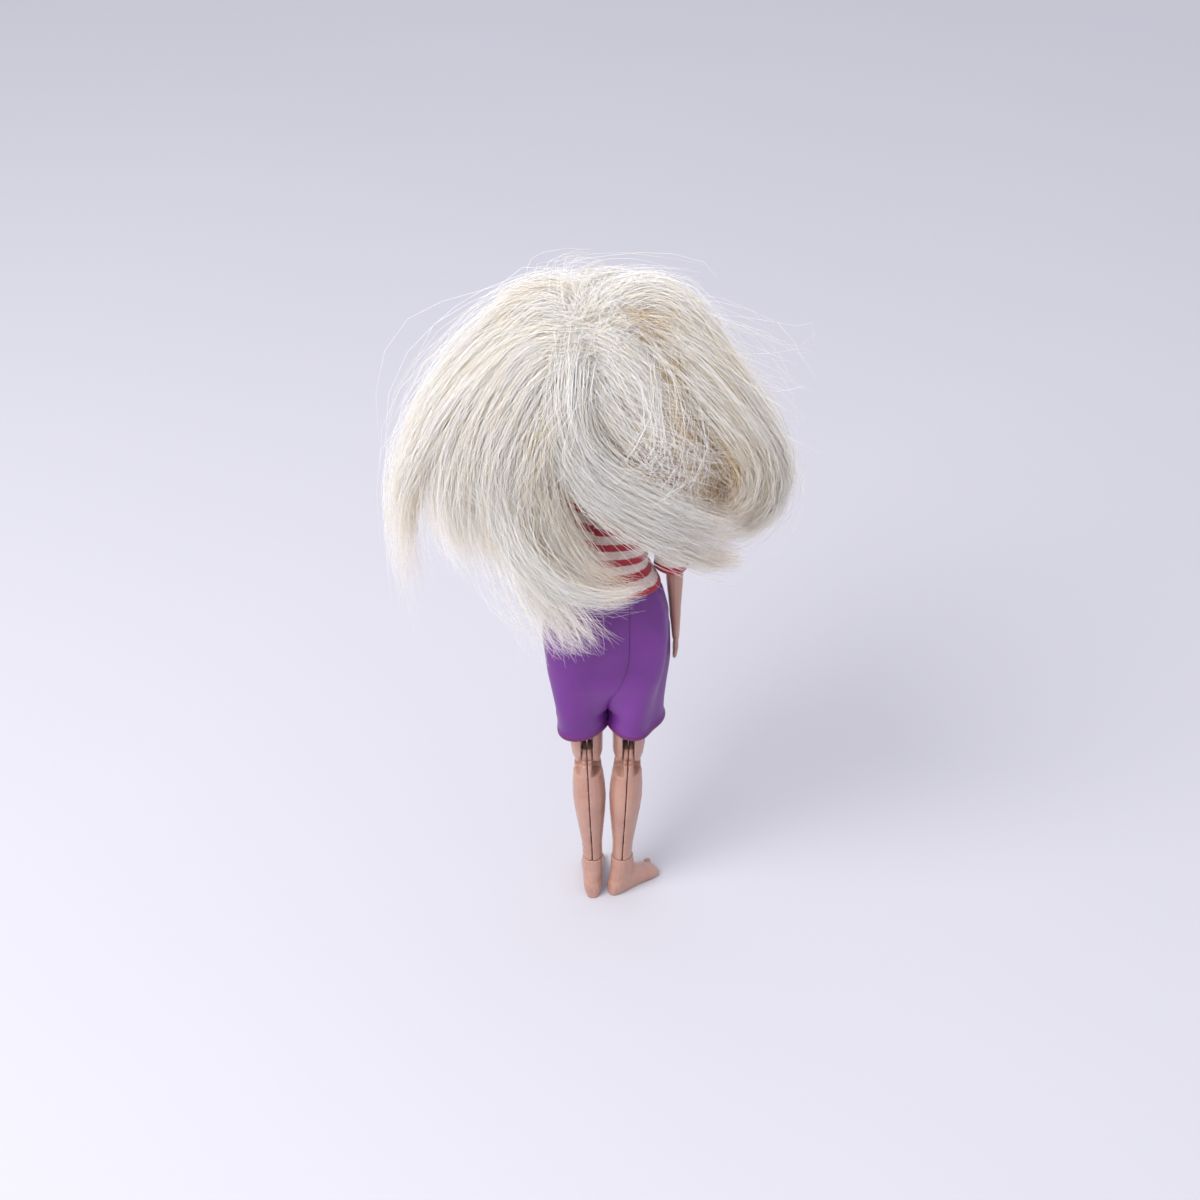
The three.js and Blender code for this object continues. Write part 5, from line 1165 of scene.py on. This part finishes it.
def combScalp(rng):
    whorl = np.array(scalpLook["whorl"])
    sideways = unit(np.cross(whorl, (0, 0, 1)))
    upwards = np.cross(sideways, whorl)
    count = scalpLook["strands"]
    steps = hairLook["steps"]
    turn = rng.uniform(0, 2 * math.pi, count)
    start = rng.uniform(*scalpLook["from"], count)
    length = rng.uniform(*scalpLook["length"], count)
    along = start[:, None] + np.linspace(0, 1, steps)[None] * length[:, None]
    away = np.cos(turn)[:, None] * sideways + np.sin(turn)[:, None] * upwards
    bend = scalpLook["bend"] * rng.normal(0, 1, count)[:, None] * np.linspace(0, 1, steps)[None]
    aside = unit(np.cross(whorl, away))
    dirs = np.cos(along)[..., None] * whorl + np.sin(along)[..., None] * away[:, None]
    dirs = unit(dirs + bend[..., None] * aside[:, None])
    x, y, z = np.moveaxis(dirs, -1, 0)
    onFace = (y < scalpLook["face"]) & (z < scalpLook["hairline"] - scalpLook["arch"] * x**2)
    low = z < scalpLook["nape"]
    kept = ~(onFace | low).any(axis=1)
    proud = np.linspace(*scalpLook["proud"], steps)[None] + rng.normal(0, 0.4, (count, 1))
    points = np.array([[turnHead(*eggPoint(*way, more=lift)) for way, lift in zip(*pair)]
                       for pair in zip(dirs[kept], proud[kept])])
    tone = scalpLook["tone"] + rng.normal(0, 0.1, len(points))
    return points, np.clip(tone, 0, 1), np.ones(len(points))


# the rooted scalp under the strands, open over the face and the nape
def makeScalp(material):
    bm = bmesh.new()
    bmesh.ops.create_uvsphere(bm, u_segments=64, v_segments=48, radius=1.0)
    nape, slant = scalpLook["bareNape"]
    bare = []
    for vert in bm.verts:
        x, y, z = vert.co
        onFace = y < scalpLook["bareFace"] and z < scalpLook["bareLine"] - scalpLook["arch"] * x**2
        if onFace or z < nape - slant * y:
            bare.append(vert)
    bmesh.ops.delete(bm, geom=bare, context="VERTS")
    for vert in bm.verts:
        vert.co = spot(*turnHead(*eggPoint(*vert.co, more=scalpLook["lift"])))
    scalp = finishMesh("hair_scalp", bm, material)
    setTone(scalp.data, [hairLook["scalpTone"]] * len(scalp.data.vertices))
    return scalp


hairMaterial = makeHairMaterial("blondFibre")
section = fibreProfile()
hairPieces = []
rng = np.random.default_rng(7)
for name, lock in {**hairLocks, **hairCurtains, **hairStrays}.items():
    paths, tones, sizes = combLock(lock, rng)
    hairPieces.append(strandPiece("hair_" + name, paths, tones, sizes, section, hairMaterial))
scalpHair = strandPiece("hair_combedScalp", *combScalp(rng), section, hairMaterial)
scalp = makeScalp(hairMaterial)
bpy.data.objects.remove(section)
for piece in (scalpHair, scalp):
    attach(piece, "head")
for piece in hairPieces:
    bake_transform(piece)
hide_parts("hair_left_fall", "hair_right_fall", "hair_back_fall", "hair_low_lock", "hair_cap")
print("hair combed:", len(hairPieces), "locks")

# floor, light and camera

stageLook = {"floor": (0.562, 0.555, 0.592), "size": 7.0}
floorMaterial, floorTree, floorShader = newMaterial("paleFloor", Roughness=0.85, Specular_IOR_Level=0.2)
floorPatch = addNoise(floorTree, objectPlace(floorTree), 3.0)
floorColour = addRamp(floorTree, floorPatch, [
    (0.3, tuple(c * 0.985 for c in stageLook["floor"])), (0.7, stageLook["floor"])])
floorTree.links.new(floorColour, floorShader.inputs["Base Color"])
floorMesh = bmesh.new()
bmesh.ops.create_grid(floorMesh, x_segments=4, y_segments=4, size=stageLook["size"] / 2)
floor = finishMesh("studioFloor", floorMesh, floorMaterial)


def aimedObject(name, data, place, target):
    made = addObject(name, data)
    made.location = place
    made.rotation_euler = (target - place).to_track_quat("-Z", "Y").to_euler()
    return made


lightLook = {
    "keyPlace": (775, 700, 1225), "keyAim": (0, 0, 170), "keySize": 1.0, "keyPower": 22.0,
    "world": (0.91, 0.905, 1.0), "worldStrength": 0.97,
}
key = bpy.data.lights.new("softKey", "AREA")
key.energy = lightLook["keyPower"]
key.shape = "DISK"
key.size = lightLook["keySize"]
aimedObject("softKey", key, spot(*lightLook["keyPlace"]), spot(*lightLook["keyAim"]))
world = bpy.data.worlds.new("studioWorld")
scene.world = world
world.use_nodes = True
sky = world.node_tree.nodes["Background"].inputs
sky["Color"].default_value = (*lightLook["world"], 1)
sky["Strength"].default_value = lightLook["worldStrength"]

cameraLook = {"lens": 50, "frame": 36, "tilt": 33, "distance": 700, "aim": (3.4, 0, 162)}
cameraData = bpy.data.cameras.new("photoView")
cameraData.lens = cameraLook["lens"]
cameraData.sensor_width = cameraLook["frame"]
cameraData.clip_start = 0.01
tilt = math.radians(cameraLook["tilt"])
far = cameraLook["distance"]
aimX, aimY, aimZ = cameraLook["aim"]
cameraPlace = spot(aimX, aimY + far * math.cos(tilt), aimZ + far * math.sin(tilt))
scene.camera = aimedObject("photoView", cameraData, cameraPlace, spot(*cameraLook["aim"]))
print("floor, light and camera set")
